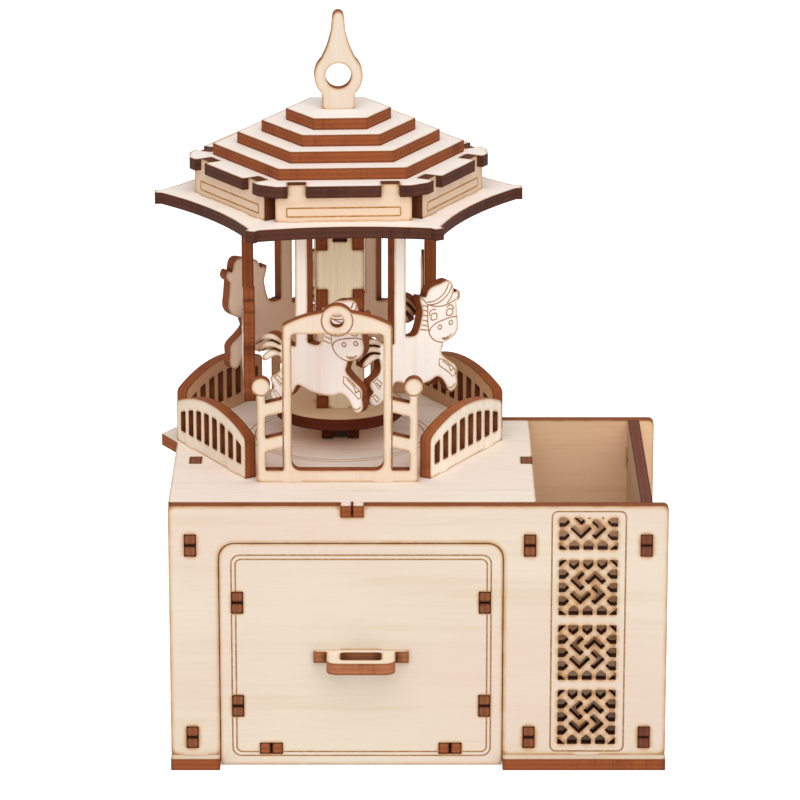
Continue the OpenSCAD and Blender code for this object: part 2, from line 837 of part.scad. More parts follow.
// Heights of the column's corner joints, each as [bottom, top]
column_joints = [[column_z, column_z + col_foot_h],
    [eave_z - col_tab_mid - tab_len / 2, eave_z - col_tab_mid + tab_len / 2],
    [eave_z - col_tab_high - tab_len / 2, eave_z - col_tab_high + tab_len / 2]];

// The front or back board of the column: 2D (s, z)
module column_face_2d() {
    difference() {
        union() {
            rect(-col_half, column_z, col_half, eave_z);
            slot(0, column_z, 3.3, 2 * sheet_t);
            slot(0, eave_z, tab_len, 2 * sheet_t);
        }
        for (side = [0, 1]) mirror([side, 0])
            for (j = column_joints)
                rect(col_in - slot_fit, j[0] - (j[0] > column_z ? slot_fit : eps), col_half + eps,
                    j[1] + slot_fit);
        slot(0, eave_z - 7.2, 3.3, 2.7);
    }
}

// A side board of the column: 2D (y, z)
module column_side_2d() {
    rect(-col_in, column_z, col_in, eave_z);
    slot(0, column_z, 3.3, 2 * sheet_t);
    slot(0, eave_z, 3.3, 2 * sheet_t);
    for (j = column_joints)
        rect(-col_half, j[0], col_half, j[1]);
}

module column_front() {
    color(WOOD) at_carousel() front_board(-col_half) column_face_2d();
}

module column_back() {
    color(WOOD) at_carousel() front_board(col_in) column_face_2d();
}

module column_left() {
    color(WOOD) at_carousel() side_board(-col_half) column_side_2d();
}

module column_right() {
    color(WOOD) at_carousel() side_board(col_in) column_side_2d();
}

// The eave board before its slots: hollow edges between small square knobs
module eave_2d() {
    difference() {
        hexagon(eave_r);
        for (k = [0 : 5]) rotate(60 * k)
            translate([0, -eave_mid_r - eave_curve_r]) circle(eave_curve_r, $fn = 360);
    }
    for (k = [0 : 5]) rotate(60 * k)
        round_rect(eave_r - 2 * eave_knob_w, -eave_knob_w / 2, eave_r, eave_knob_w / 2, 0.3);
}

module eave_board() {
    color(WOOD_PALE) at_carousel() flat_board(eave_z) difference() {
        eave_2d();
        for (k = [0 : 5]) rotate(60 * k) {
            for (s = [-skirt_tab_s, skirt_tab_s])
                tab_slot(s, -skirt_r + sheet_t / 2, skirt_tab_w, sheet_t);
            rotate(30) tab_slot(pole_s, -horse_r + sheet_t / 2, pole_w, sheet_t);
        }
        for (side = [-1, 1]) {
            tab_slot(0, side * (col_half - sheet_t / 2), tab_len, sheet_t);
            tab_slot(side * (col_half - sheet_t / 2), 0, sheet_t, 3.3);
        }
    }
}

// A skirt panel: 2D (s, z)
module skirt_2d() {
    rect(-skirt_w / 2, skirt_z, skirt_w / 2, ring_z);
    for (s = [-skirt_tab_s, skirt_tab_s])
        rect(s - skirt_tab_w / 2, eave_z, s + skirt_tab_w / 2, tier_z);
}

module skirt(k) {
    color(WOOD_PALE) at_carousel() on_side(k, skirt_r) skirt_2d();
}

module skirt_front() { skirt(0); }
module skirt_front_right() { skirt(1); }
module skirt_back_right() { skirt(2); }
module skirt_back() { skirt(3); }
module skirt_back_left() { skirt(4); }
module skirt_front_left() { skirt(5); }

// Slot for the finial's tail
module tail_slot() {
    tab_slot(0, 0, tab_len, sheet_t);
}

module ring_board() {
    color(WOOD_PALE) at_carousel() flat_board(ring_z) difference() {
        intersection() {
            hexagon(ring_edge_r / cos(30));
            rotate(30) hexagon(ring_corner_r / cos(30));
        }
        for (k = [0 : 5]) rotate(60 * k)
            for (s = [-skirt_tab_s, skirt_tab_s])
                rect(s - skirt_tab_w / 2 - slot_fit, -ring_edge_r - eps,
                    s + skirt_tab_w / 2 + slot_fit, -skirt_r + sheet_t + slot_fit);
        tail_slot();
    }
}

// One roof tier, counted from the top
module roof_tier(i) {
    color(WOOD_PALE) at_carousel() flat_board(finial_z - i * sheet_t) difference() {
        hexagon(tier_top_r + (i - 1) * tier_step);
        tail_slot();
    }
}

module roof_tier_1() { roof_tier(1); }
module roof_tier_2() { roof_tier(2); }
module roof_tier_3() { roof_tier(3); }
module roof_tier_4() { roof_tier(4); }

// The finial: 2D (s, z), its ring and its drawn-out tip
module finial_2d() {
    tip_w = 1.3;
    flank = smooth_run([[3.9, finial_ring_z + 4], [2.75, finial_ring_z + 6.5],
        [2.1, finial_ring_z + 8.6], [1.6, finial_ring_z + 10.8], [1.35, finial_h - tip_w]], 4);
    mirrored = [for (i = [len(flank) - 1 : -1 : 0]) [-flank[i][0], flank[i][1]]];
    translate([0, finial_z]) difference() {
        union() {
            translate([0, finial_ring_z]) circle(finial_ring_r);
            rect(-finial_foot_w / 2, 0, finial_foot_w / 2, finial_ring_z);
            polygon(concat([[3, finial_ring_z + 2]], flank, mirrored, [[-3, finial_ring_z + 2]]));
            translate([0, finial_h - tip_w]) circle(tip_w);
        }
        translate([0, finial_ring_z]) circle(finial_hole_r);
    }
    rect(-tab_len / 2, ring_z, tab_len / 2, finial_z + eps);
}

module finial() {
    color(WOOD_PALE) at_carousel() front_board(-sheet_t / 2) finial_2d();
}

// Outline of a running horse, (s, z) from the pole's foot line and the hoofs
horse_back = [[0.6, 14.15], [-1, 14.35], [-2.6, 14.95], [-4.2, 16.05], [-5.8, 16.45], [-7.4, 16.05],
    [-8.8, 15.05], [-9.9, 13.75], [-9.9, 13.15]];
// The tail's strands: upper and lower edge of the two slits between them
horse_tail = [
    [[-9.9, 13.15], [-9.2, 13.85], [-8, 14.75], [-6.3, 15.15], [-4.6, 14.95], [-3.1, 14.25]],
    [[-3.4, 13.95], [-4.8, 14.45], [-6.3, 14.55], [-7.8, 13.85], [-9, 12.65], [-9.4, 11.75],
        [-8.9, 11.55]],
    [[-8.9, 11.55], [-8.3, 12.15], [-7.3, 12.85], [-6, 13.25], [-4.6, 13.15], [-3.1, 12.65]],
    [[-3.4, 12.25], [-4.8, 12.65], [-6.2, 12.45], [-7.5, 11.45], [-8.1, 10.55], [-8, 9.75],
        [-7.2, 9.75], [-6, 10.45], [-4.6, 11.25], [-3.5, 11.35]]];
horse_legs = [[-3.3, 10.35], [-3.1, 9.15], [-3.4, 7.95], [-4.6, 6.85], [-5.8, 6.15], [-6.1, 5.35],
    [-5.6, 4.25], [-5.1, 3.45], [-6, 2.55], [-6.2, 1.35], [-5.3, 0.25], [-4, -0.15], [-2.8, 0.45],
    [-2, 1.35], [-0.9, 1.95], [0, 3.15], [0.8, 4.75], [1.5, 4.95], [2.6, 4.55], [4.5, 3.85],
    [7, 3.45], [9, 3.45], [10.8, 3.75], [12.1, 4.45], [13, 4.35], [14, 3.55], [14.9, 2.15],
    [15.5, 0.95], [16.2, 0.15], [17.1, 0.25], [17.9, 1.05], [18.2, 2.35], [17.9, 3.75], [18, 5.55],
    [17.4, 6.65], [16, 7.75], [14.6, 8.95], [13.7, 9.95], [13.8, 10.75], [14.1, 11.45]];
horse_head = [[14.2, 12.45], [15.8, 12.85], [17.3, 13.65], [18.2, 14.85], [18.45, 16.25],
    [18.2, 18.05], [18, 20.05], [17.9, 21.75], [18.6, 22.25], [18.95, 23.25], [18.6, 24.25],
    [18, 24.55], [17.2, 24.05], [16.9, 25.55], [16.5, 26.65], [15.6, 27.25], [14.4, 27.15],
    [13, 26.75], [11.6, 26.55], [10.4, 26.05], [9.7, 25.05], [9.4, 24.15], [8.5, 24.35],
    [7.7, 24.45], [7.7, 23.45], [8.1, 22.05], [8.4, 20.65], [8.1, 19.05], [7.6, 17.05],
    [6.8, 15.55], [5.5, 15.25], [4, 15.55]];

// A horse plate with its pole: 2D (s, z)
module horse_2d() {
    n = 3;
    translate([0, eave_z - horse_drop]) polygon(concat(
        smooth_run(horse_back, n), [for (run = horse_tail) each smooth_run(run, n)],
        smooth_run(horse_legs, n), smooth_run(horse_head, n)));
    rect(pole_s - pole_w / 2, eave_z - horse_drop + pole_foot_h, pole_s + pole_w / 2, skirt_z);
}

module horse(k) {
    color(WOOD_PALE) at_carousel() rotate([0, 0, 30]) on_side(k, horse_r) horse_2d();
}

module horse_1() { horse(0); }
module horse_2() { horse(1); }
module horse_3() { horse(2); }
module horse_4() { horse(3); }
module horse_5() { horse(4); }
module horse_6() { horse(5); }

// ---------------------------------------------------------------- musical movement

// A lug that hangs from the bedplate and carries the cylinder's axle
module axle_lug(x) {
    translate([x, 0, drum_z]) rotate([90, 0, 90]) linear_extrude(lug_t) difference() {
        union() {
            rect(-lug_w / 2, 0, lug_w / 2, drum_drop);
            circle(lug_w / 2);
        }
        circle(axle_d / 2 + axle_play);
    }
}

lug_xs = [drum_x - lug_gap - lug_t, drum_x + drum_l + lug_gap];

module movement_bedplate() {
    color(ZINC) at_axis() {
        difference() {
            union() {
                translate([0, 0, bed_z]) linear_extrude(bed_t)
                    round_rect(bed_left, bed_far, bed_right, bed_edge, 3);
                for (x = lug_xs) axle_lug(x);
                translate([drum_x, comb_root_y - comb_back, drum_z + comb_t / 2])
                    cube([drum_l - gear_t, seat_d, drum_drop - comb_t / 2 + eps]);
            }
            translate([0, 0, bed_z - eps]) cylinder(h = bed_t + 2 * eps, r = bore_r);
            for (p = bed_screws)
                translate([p[0], p[1], bed_z - eps])
                    cylinder(h = bed_t + 2 * eps, r = bed_screw_r + slot_fit);
            for (x = comb_screw_x)
                translate([drum_x + x, comb_screw_y, drum_z]) cylinder(h = 5, r = screw_r + slot_fit);
        }
    }
}

// A slotted screw with its head down: the shank stands up from z
module screw_up(z, r, shank) {
    translate([0, 0, z - 1.1]) difference() {
        cylinder(h = 1.1, r = r * 1.9);
        translate([-r * 2, -0.25, -eps]) cube([r * 4, 0.5, 0.5]);
    }
    translate([0, 0, z - eps]) cylinder(h = shank, r = r);
}

module movement_screws() {
    color(STEEL) at_axis() for (p = bed_screws)
        translate(p) screw_up(bed_z, bed_screw_r, bed_t + screw_hole_h - screw_end_gap);
}

module spring_housing() {
    color(BRASS) at_axis() difference() {
        union() {
            translate([0, 0, bed_z - housing_h]) cylinder(h = housing_h, r = housing_r);
            translate([0, 0, bed_z - housing_h - housing_cap_h])
                cylinder(h = housing_cap_h + eps, r = housing_r * 0.6);
        }
        translate([0, 0, bed_z - housing_h + housing_floor]) cylinder(h = housing_h, r = bore_r);
    }
}

module governor_housing() {
    color(ZINC) at_axis()
        translate([governor_x, comb_root_y - comb_back + 1, bed_z - governor[2]]) union() {
            cube(governor);
            translate([governor[0] / 2, governor[1] / 2, -housing_cap_h])
                cylinder(h = housing_cap_h + eps, r = 2.4);
        }
}

// The comb: a steel plate with tuned teeth: 2D (x, y) from the drum's left end
module comb_2d() {
    width = drum_l - gear_t;
    cut = 0.24;
    difference() {
        rect(0, comb_root_y - comb_back, width, comb_tip_y);
        for (i = [1 : comb_teeth - 1])
            rect(i * comb_pitch - cut / 2, comb_root_y, i * comb_pitch + cut / 2, comb_tip_y + eps);
        for (x = comb_screw_x)
            translate([x, comb_screw_y]) circle(screw_r + slot_fit);
    }
}

module music_comb() {
    color(STEEL) at_axis() translate([drum_x, 0, drum_z - comb_t / 2]) linear_extrude(comb_t) comb_2d();
}

module comb_screws() {
    color(BRASS) at_axis() for (x = comb_screw_x)
        translate([drum_x + x, comb_screw_y, 0]) screw_up(drum_z - comb_t / 2, screw_r, 4.5);
}

// The angle of pin j on track i, spread by two turns that share no factor
function pin_angle(i, j) = (i * 137 + j * 89) % 360;
pins_per_track = 4;

module pinned_cylinder() {
    color(BRASS) at_axis() translate([drum_x, 0, drum_z]) rotate([0, 90, 0]) {
        cylinder(h = drum_l - gear_t + eps, r = drum_r);
        for (i = [0 : comb_teeth - 1])
            for (j = [0 : pins_per_track - 1])
                rotate([0, 0, pin_angle(i, j)]) translate([drum_r - 0.3, 0, (i + 0.5) * comb_pitch])
                    rotate([0, 90, 0]) cylinder(h = pin_h + 0.3, r = 0.2, $fn = 16);
        translate([0, 0, drum_l - gear_t]) linear_extrude(gear_t) difference() {
            circle(gear_r);
            for (a = [0 : 360 / gear_teeth : 359])
                rotate(a) translate([gear_r, 0]) circle(0.42, $fn = 6);
        }
        translate([0, 0, -lug_gap - lug_t]) cylinder(h = drum_l + 2 * (lug_gap + lug_t), r = axle_d / 2);
    }
}

// ---------------------------------------------------------------- the nodes

bottom_board();
front_panel();
back_panel();
left_side_panel();
right_side_panel();
divider_panel();
top_plate();
drawer_runners();
entrance_gate();
fence_front_left();
fence_front_right();
fence_back_left();
fence_back_right();
fence_back();
movement_bedplate();
movement_screws();
spring_housing();
governor_housing();
music_comb();
comb_screws();
pinned_cylinder();
drawer_front();
drawer_left_side();
drawer_right_side();
drawer_back();
drawer_bottom();
drawer_handle();
spindle();
drive_hub();
turntable_disc();
column_front();
column_back();
column_left();
column_right();
eave_board();
skirt_front();
skirt_front_right();
skirt_back_right();
skirt_back();
skirt_back_left();
skirt_front_left();
ring_board();
roof_tier_1();
roof_tier_2();
roof_tier_3();
roof_tier_4();
finial();
horse_1();
horse_2();
horse_3();
horse_4();
horse_5();
horse_6();
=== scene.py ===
"""Dresses the carousel music box: raw plywood with laser-browned edges, the lines
burnt into its boards, the musical movement under the platform, soft studio light
and the camera."""

from __future__ import annotations

import logging
import math
from dataclasses import dataclass, field, replace
from enum import Enum

import bmesh
import bpy
from mathutils import Matrix, Vector

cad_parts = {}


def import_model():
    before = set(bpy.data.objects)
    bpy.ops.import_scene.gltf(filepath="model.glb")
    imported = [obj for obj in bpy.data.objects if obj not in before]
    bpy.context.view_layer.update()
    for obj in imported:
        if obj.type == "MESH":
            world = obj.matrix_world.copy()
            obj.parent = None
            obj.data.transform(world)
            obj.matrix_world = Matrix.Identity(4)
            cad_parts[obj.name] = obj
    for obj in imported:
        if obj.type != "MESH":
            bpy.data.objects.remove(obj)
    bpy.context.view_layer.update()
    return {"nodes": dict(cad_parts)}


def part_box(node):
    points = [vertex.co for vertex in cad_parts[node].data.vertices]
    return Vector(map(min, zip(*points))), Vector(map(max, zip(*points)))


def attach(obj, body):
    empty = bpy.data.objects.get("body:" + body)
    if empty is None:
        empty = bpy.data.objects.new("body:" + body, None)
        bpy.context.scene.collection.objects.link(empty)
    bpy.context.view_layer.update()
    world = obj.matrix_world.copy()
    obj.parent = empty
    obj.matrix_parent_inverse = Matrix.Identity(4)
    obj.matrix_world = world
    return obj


LOG = logging.getLogger("carousel_box")
# A millimetre in the scene's metres
MM = 0.001
# Widths of the burnt lines, in millimetres
LINE_WIDTH = 0.38
FINE_WIDTH = 0.3


def lowest(node: str) -> Vector:
    """Gives the lowest corner of a node at rest, in millimetres."""
    return Vector(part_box(node)[0]) / MM


def highest(node: str) -> Vector:
    """Gives the highest corner of a node at rest, in millimetres."""
    return Vector(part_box(node)[1]) / MM


def centre(node: str) -> Vector:
    """Gives the centre of a node's box at rest, in millimetres."""
    return (lowest(node) + highest(node)) / 2


class Scorch(Enum):
    """How strongly the laser browned the cut edges of a board."""

    SIENNA = "sienna"
    RUST = "rust"
    DARK = "dark"


class Grain(Enum):
    """The way the face veneer's grain runs on a board."""

    ACROSS = "across"
    UPRIGHT = "upright"
    DEEP = "deep"


@dataclass(frozen=True)
class Tone:
    """A colour in linear light."""

    red: float
    green: float
    blue: float

    @classmethod
    def srgb(cls, red: int, green: int, blue: int) -> "Tone":
        """Makes a tone from screen values.

        Args:
            red: Red, 0 to 255.
            green: Green, 0 to 255.
            blue: Blue, 0 to 255.

        Returns:
            The tone in linear light.
        """
        parts = [v / 255 for v in (red, green, blue)]
        return cls(*[p / 12.92 if p <= 0.04045 else ((p + 0.055) / 1.055) ** 2.4 for p in parts])

    def rgba(self) -> tuple[float, float, float, float]:
        """Gives the colour as four numbers."""
        return (self.red, self.green, self.blue, 1.0)


class Weave:
    """A small helper that adds and joins the nodes of one material."""

    def __init__(self, name: str) -> None:
        """Starts an empty material.

        Args:
            name: The material's name.
        """
        self.material = bpy.data.materials.new(name)
        self.material.use_nodes = True
        self.tree = self.material.node_tree
        self.tree.nodes.clear()
        self.output = self.tree.nodes.new("ShaderNodeOutputMaterial")
        self.shader = self.tree.nodes.new("ShaderNodeBsdfPrincipled")
        self.tree.links.new(self.shader.outputs[0], self.output.inputs[0])
        self.coords = self.tree.nodes.new("ShaderNodeTexCoord")

    def link(self, source: bpy.types.NodeSocket, target: bpy.types.NodeSocket) -> None:
        """Joins one socket to another."""
        self.tree.links.new(source, target)

    def feed(self, target: bpy.types.NodeSocket, value: object) -> None:
        """Sets a socket to a value, or links it when the value is a socket.

        Args:
            target: The input socket.
            value: A number, a tuple or an output socket.
        """
        if isinstance(value, bpy.types.NodeSocket):
            self.link(value, target)
        else:
            target.default_value = value

    def math(self, kind: str, *values: object) -> bpy.types.NodeSocket:
        """Adds a Math node.

        Args:
            kind: The operation's name.
            values: Its inputs, numbers or sockets.

        Returns:
            The result's socket.
        """
        node = self.tree.nodes.new("ShaderNodeMath")
        node.operation = kind
        for socket, value in zip(node.inputs, values):
            self.feed(socket, value)
        return node.outputs[0]

    def vector(self, kind: str, *values: object) -> bpy.types.NodeSocket:
        """Adds a Vector Math node.

        Args:
            kind: The operation's name.
            values: Its inputs, tuples or sockets.

        Returns:
            The result's socket, a number for a dot product.
        """
        node = self.tree.nodes.new("ShaderNodeVectorMath")
        node.operation = kind
        for socket, value in zip(node.inputs, values):
            self.feed(socket, value)
        return node.outputs["Value" if kind in ("DOT_PRODUCT", "LENGTH") else "Vector"]

    def span(self, value: object, low: float, high: float, to_low: float = 0.0,
             to_high: float = 1.0) -> bpy.types.NodeSocket:
        """Maps a value softly from one range to another.

        Args:
            value: The value or its socket.
            low: Start of the range it comes from.
            high: End of that range.
            to_low: What the start becomes.
            to_high: What the end becomes.

        Returns:
            The result's socket.
        """
        node = self.tree.nodes.new("ShaderNodeMapRange")
        node.interpolation_type = "SMOOTHSTEP"
        for name, number in (("From Min", low), ("From Max", high), ("To Min", to_low),
                             ("To Max", to_high)):
            node.inputs[name].default_value = number
        self.feed(node.inputs["Value"], value)
        return node.outputs["Result"]

    def mix(self, factor: object, first: object, second: object,
            blend: str = "MIX") -> bpy.types.NodeSocket:
        """Mixes two colours.

        Args:
            factor: How much of the second.
            first: A tone, a tuple or a socket.
            second: A tone, a tuple or a socket.
            blend: The blend mode.

        Returns:
            The colour's socket.
        """
        node = self.tree.nodes.new("ShaderNodeMix")
        node.data_type = "RGBA"
        node.blend_type = blend
        self.feed(node.inputs[0], factor)
        for socket, value in ((node.inputs[6], first), (node.inputs[7], second)):
            self.feed(socket, value.rgba() if isinstance(value, Tone) else value)
        return node.outputs[2]

    def stretched(self, place: object, scale: tuple[float, float, float]) -> bpy.types.NodeSocket:
        """Scales a place before a pattern reads it.

        Args:
            place: The coordinates' socket.
            scale: The factor along each axis.

        Returns:
            The scaled coordinates' socket.
        """
        return self.vector("MULTIPLY", place, scale)

    def noise(self, place: object, scale: float, detail: float = 3.0,
              roughness: float = 0.55) -> bpy.types.NodeSocket:
        """Adds a noise pattern.

        Args:
            place: The coordinates' socket.
            scale: Its scale.
            detail: Its number of octaves.
            roughness: How strong the fine octaves are.

        Returns:
            The noise value's socket.
        """
        node = self.tree.nodes.new("ShaderNodeTexNoise")
        self.feed(node.inputs["Vector"], place)
        node.inputs["Scale"].default_value = scale
        node.inputs["Detail"].default_value = detail
        node.inputs["Roughness"].default_value = roughness
        return node.outputs["Fac"]

    def bump(self, height: object, strength: float, distance: float) -> None:
        """Gives the shader a bump.

        Args:
            height: The height's socket.
            strength: The bump's strength.
            distance: Its depth in metres.
        """
        node = self.tree.nodes.new("ShaderNodeBump")
        node.inputs["Strength"].default_value = strength
        node.inputs["Distance"].default_value = distance
        self.feed(node.inputs["Height"], height)
        self.link(node.outputs["Normal"], self.shader.inputs["Normal"])


@dataclass(frozen=True)
class Plywood:
    """Raw basswood plywood cut by laser: pale good face, a back tinted by cutting fumes and painted
    shade, brown edges.

    The reach of the halo, the depth within which shade is painted into slots and hollows, and the relief
    are in millimetres.
    """

    cream: Tone = Tone.srgb(218, 205, 187)
    blush: Tone = Tone.srgb(216, 197, 181)
    streak: Tone = Tone.srgb(206, 184, 153)
    # Tan of the back face: stain of the cutting fumes, and painted shade of the faces turned inwards
    smoke_and_shade: Tone = Tone.srgb(244, 210, 176)
    halo: Tone = Tone.srgb(204, 160, 104)
    rim: Tone = Tone.srgb(132, 81, 43)
    sienna: Tone = Tone.srgb(148, 80, 42)
    umber: Tone = Tone.srgb(102, 48, 23)
    rust: Tone = Tone.srgb(104, 42, 18)
    # The darkest charred tone of the edges, also the colour that the painted shade in slots goes towards
    char_and_shade: Tone = Tone.srgb(54, 17, 7)
    soot: Tone = Tone.srgb(42, 21, 16)
    ash: Tone = Tone.srgb(92, 52, 38)
    reach: float = 1.0
    outline: float = 0.35
    # Painted shade: cut edges enclosed within this depth darken towards the charred tone
    shade_pit: float = 3.0
    shade_pit_dark: float = 0.62
    halo_samples: int = 12
    shade_pit_samples: int = 8
    cloud_scale: float = 34.0
    fibre_scale: float = 1400.0
    band_scale: float = 260.0
    pore_scale: float = 2600.0
    patch_scale: float = 210.0
    streak_scale: float = 1700.0
    scorch_scale: float = 160.0
    beam_stretch: float = 0.93
    roughness: float = 0.72
    gloss: float = 0.15
    relief: float = 0.06

    def scorch_tones(self, scorch: Scorch) -> tuple[Tone, Tone]:
        """Gives the light and the dark tone of a cut edge.

        Args:
            scorch: How strongly it is browned.

        Returns:
            The light tone and the dark one.
        """
        return {Scorch.SIENNA: (self.sienna, self.umber), Scorch.RUST: (self.rust, self.char_and_shade),
                Scorch.DARK: (self.ash, self.soot)}[scorch]

    def grain_tone(self, w: Weave, place: bpy.types.NodeSocket, stretch: tuple[float, float, float],
                   ) -> tuple[bpy.types.NodeSocket, bpy.types.NodeSocket]:
        """Weaves the good face's colour.

        Args:
            w: The material's helper.
            place: The coordinates' socket.
            stretch: The factor along each axis, small along the grain.

        Returns:
            The colour's socket and the fine fibre's socket.
        """
        along = w.stretched(place, stretch)
        less_drawn = tuple(0.45 + 0.55 * s for s in stretch)
        short_drawn = tuple(0.12 if s < 1 else 1.0 for s in stretch)
        broad = w.noise(w.stretched(place, less_drawn), self.cloud_scale, 2.0)
        fibre = w.noise(along, self.fibre_scale, 4.0, 0.7)
        band = w.noise(along, self.band_scale, 3.0, 0.6)
        pore = w.noise(w.stretched(place, short_drawn), self.pore_scale, 2.0)
        tone = w.mix(w.span(broad, 0.35, 0.68), self.cream, self.blush)
        tone = w.mix(w.span(band, 0.52, 0.78, 0.0, 0.42), tone, self.streak)
        tone = w.mix(w.span(fibre, 0.45, 0.8, 0.0, 0.34), tone, self.streak)
        return w.mix(w.span(pore, 0.66, 0.8, 0.0, 0.25), tone, self.halo), fibre

    def near_cuts(self, w: Weave) -> bpy.types.NodeSocket:
        """Finds how near a spot is to a sharp corner of its board.

        Args:
            w: The material's helper.

        Returns:
            A value's socket, 0 away from corners and about 0.5 on them.
        """
        near = w.tree.nodes.new("ShaderNodeAmbientOcclusion")
        near.inside = True
        near.only_local = True
        near.samples = self.halo_samples
        near.inputs["Distance"].default_value = self.reach * MM
        return w.math("SUBTRACT", 1.0, near.outputs["AO"])

    def halo_near_cuts(self, w: Weave, place: bpy.types.NodeSocket, tone: bpy.types.NodeSocket,
                       close: bpy.types.NodeSocket) -> bpy.types.NodeSocket:
        """Browns a face softly beside its cut edges.

        Args:
            w: The material's helper.
            place: The coordinates' socket.
            tone: The face's colour.
            close: How near the corners are.

        Returns:
            The colour's socket.
        """
        patchy = w.span(w.noise(place, self.patch_scale, 2.0), 0.3, 0.7, 0.6, 1.0)
        wide = w.math("MULTIPLY", w.span(close, 0.03, 0.5, 0.0, 0.95), patchy)
        narrow = w.math("MULTIPLY", w.span(close, 0.34, 0.5, 0.0, 0.75), patchy)
        return w.mix(narrow, w.mix(wide, tone, self.halo), self.rim)

    def paint_shade_in_slots(self, w: Weave, edge: bpy.types.NodeSocket) -> bpy.types.NodeSocket:
        """Paints shade on cut edges inside narrow slots and hollows, darkening them towards the charred
        tone.

        Args:
            w: The material's helper.
            edge: The edge's colour.

        Returns:
            The colour's socket.
        """
        # Painted shade: where ambient occlusion finds an edge enclosed, it darkens towards the charred
        # tone
        shade_pit = w.tree.nodes.new("ShaderNodeAmbientOcclusion")
        shade_pit.only_local = True
        shade_pit.samples = self.shade_pit_samples
        shade_pit.inputs["Distance"].default_value = self.shade_pit * MM
        return w.mix(w.span(shade_pit.outputs["AO"], 0.45, 0.92, self.shade_pit_dark, 0.0), edge, self.char_and_shade)

    def edge_tone(self, w: Weave, place: bpy.types.NodeSocket, streaks: bpy.types.NodeSocket,
                  deep: bpy.types.NodeSocket, close: bpy.types.NodeSocket,
                  scorch: Scorch) -> bpy.types.NodeSocket:
        """Weaves the colour of the cut edges.

        Args:
            w: The material's helper.
            place: The coordinates' socket.
            streaks: The beam's streaks across the sheet.
            deep: The place in the sheet, -0.5 on its back and 0.5 on its good face.
            close: How near the corners are.
            scorch: How strongly the edges are browned.

        Returns:
            The colour's socket.
        """
        light, dark = self.scorch_tones(scorch)
        cloud = w.noise(place, self.scorch_scale, 3.0)
        mottle = w.math("ADD", w.math("MULTIPLY", streaks, 0.4), w.math("MULTIPLY", cloud, 0.6))
        edge = w.mix(w.span(mottle, 0.3, 0.52, 0.35, 1.0), dark, light)
        # The middle ply burns darker, and so does the edge towards the back
        core = w.math("ABSOLUTE", deep)
        edge = w.mix(w.span(core, 0.13, 0.19, 0.3, 0.0), edge, dark)
        edge = w.mix(w.span(deep, -0.3, -0.5, 0.0, 0.4), edge, dark)
        edge = w.mix(w.span(close, 0.1, 0.38, 0.0, self.outline), edge, self.char_and_shade)
        return self.paint_shade_in_slots(w, edge)

    def make(self, name: str, normal: Vector, middle: float, thickness: float, grain: Grain,
             scorch: Scorch) -> bpy.types.Material:
        """Makes the material for one board.

        Args:
            name: The material's name.
            normal: The normal of the board's good face.
            middle: Distance of the board's middle from the origin along the normal, in metres.
            thickness: The sheet's thickness in metres.
            grain: The way the grain runs.
            scorch: How strongly the edges are browned.

        Returns:
            The material.
        """
        w = Weave(name)
        place = w.coords.outputs["Object"]
        # The two faces look along the normal, the cut edges across it
        looks = w.vector("DOT_PRODUCT", w.coords.outputs["Normal"], tuple(normal))
        face = w.span(w.math("ABSOLUTE", looks), 0.55, 0.9)
        stretch = {Grain.ACROSS: (0.05, 1.0, 1.0), Grain.UPRIGHT: (1.0, 1.0, 0.05),
                   Grain.DEEP: (1.0, 0.05, 1.0)}[grain]
        tone, fibre = self.grain_tone(w, place, stretch)
        # The back face is tinted: stain of the cutting fumes, and painted shade, as the backs face the
        # hub or down
        behind = w.span(looks, -0.9, -0.5, 0.8, 0.0)
        tone = w.mix(behind, tone, self.smoke_and_shade, "MULTIPLY")
        close = self.near_cuts(w)
        tone = self.halo_near_cuts(w, place, tone, close)
        # The beam's streaks run through the sheet, so their pattern is drawn out along the normal
        along_beam = w.vector("MULTIPLY", place, tuple(self.beam_stretch * abs(c) for c in normal))
        streaks = w.noise(w.vector("SUBTRACT", place, along_beam), self.streak_scale, 3.0, 0.7)
        above = w.math("SUBTRACT", w.vector("DOT_PRODUCT", place, tuple(normal)), middle)
        deep = w.math("DIVIDE", above, thickness)
        edge = self.edge_tone(w, place, streaks, deep, close, scorch)
        w.link(w.mix(face, edge, tone), w.shader.inputs["Base Color"])
        w.shader.inputs["Roughness"].default_value = self.roughness
        w.shader.inputs["Specular IOR Level"].default_value = self.gloss
        height = w.math("ADD", w.math("MULTIPLY", fibre, face), w.math("MULTIPLY", streaks, 0.8))
        w.bump(height, 0.25, self.relief * MM)
        return w.material


# The boards whose tab ends show in the fronts: each end sits dark-rimmed in its slot
BOX_SIDE = Plywood(sienna=Tone.srgb(134, 79, 50), umber=Tone.srgb(88, 48, 28),
                   char_and_shade=Tone.srgb(38, 12, 4), reach=0.6, outline=0.85)


@dataclass(frozen=True)
class BurntLine:
    """The brown of a line burnt into a face."""

    name: str = "burnt_line"
    core: Tone = Tone.srgb(152, 110, 70)
    fade: Tone = Tone.srgb(182, 142, 98)

    def make(self) -> bpy.types.Material:
        """Makes the material.

        Returns:
            The material.
        """
        w = Weave(self.name)
        spots = w.noise(w.coords.outputs["Object"], 900.0, 3.0, 0.6)
        w.link(w.mix(w.span(spots, 0.35, 0.7), self.core, self.fade), w.shader.inputs["Base Color"])
        w.shader.inputs["Roughness"].default_value = 0.85
        w.shader.inputs["Specular IOR Level"].default_value = 0.1
        w.bump(spots, 0.3, 0.03 * MM)
        return w.material


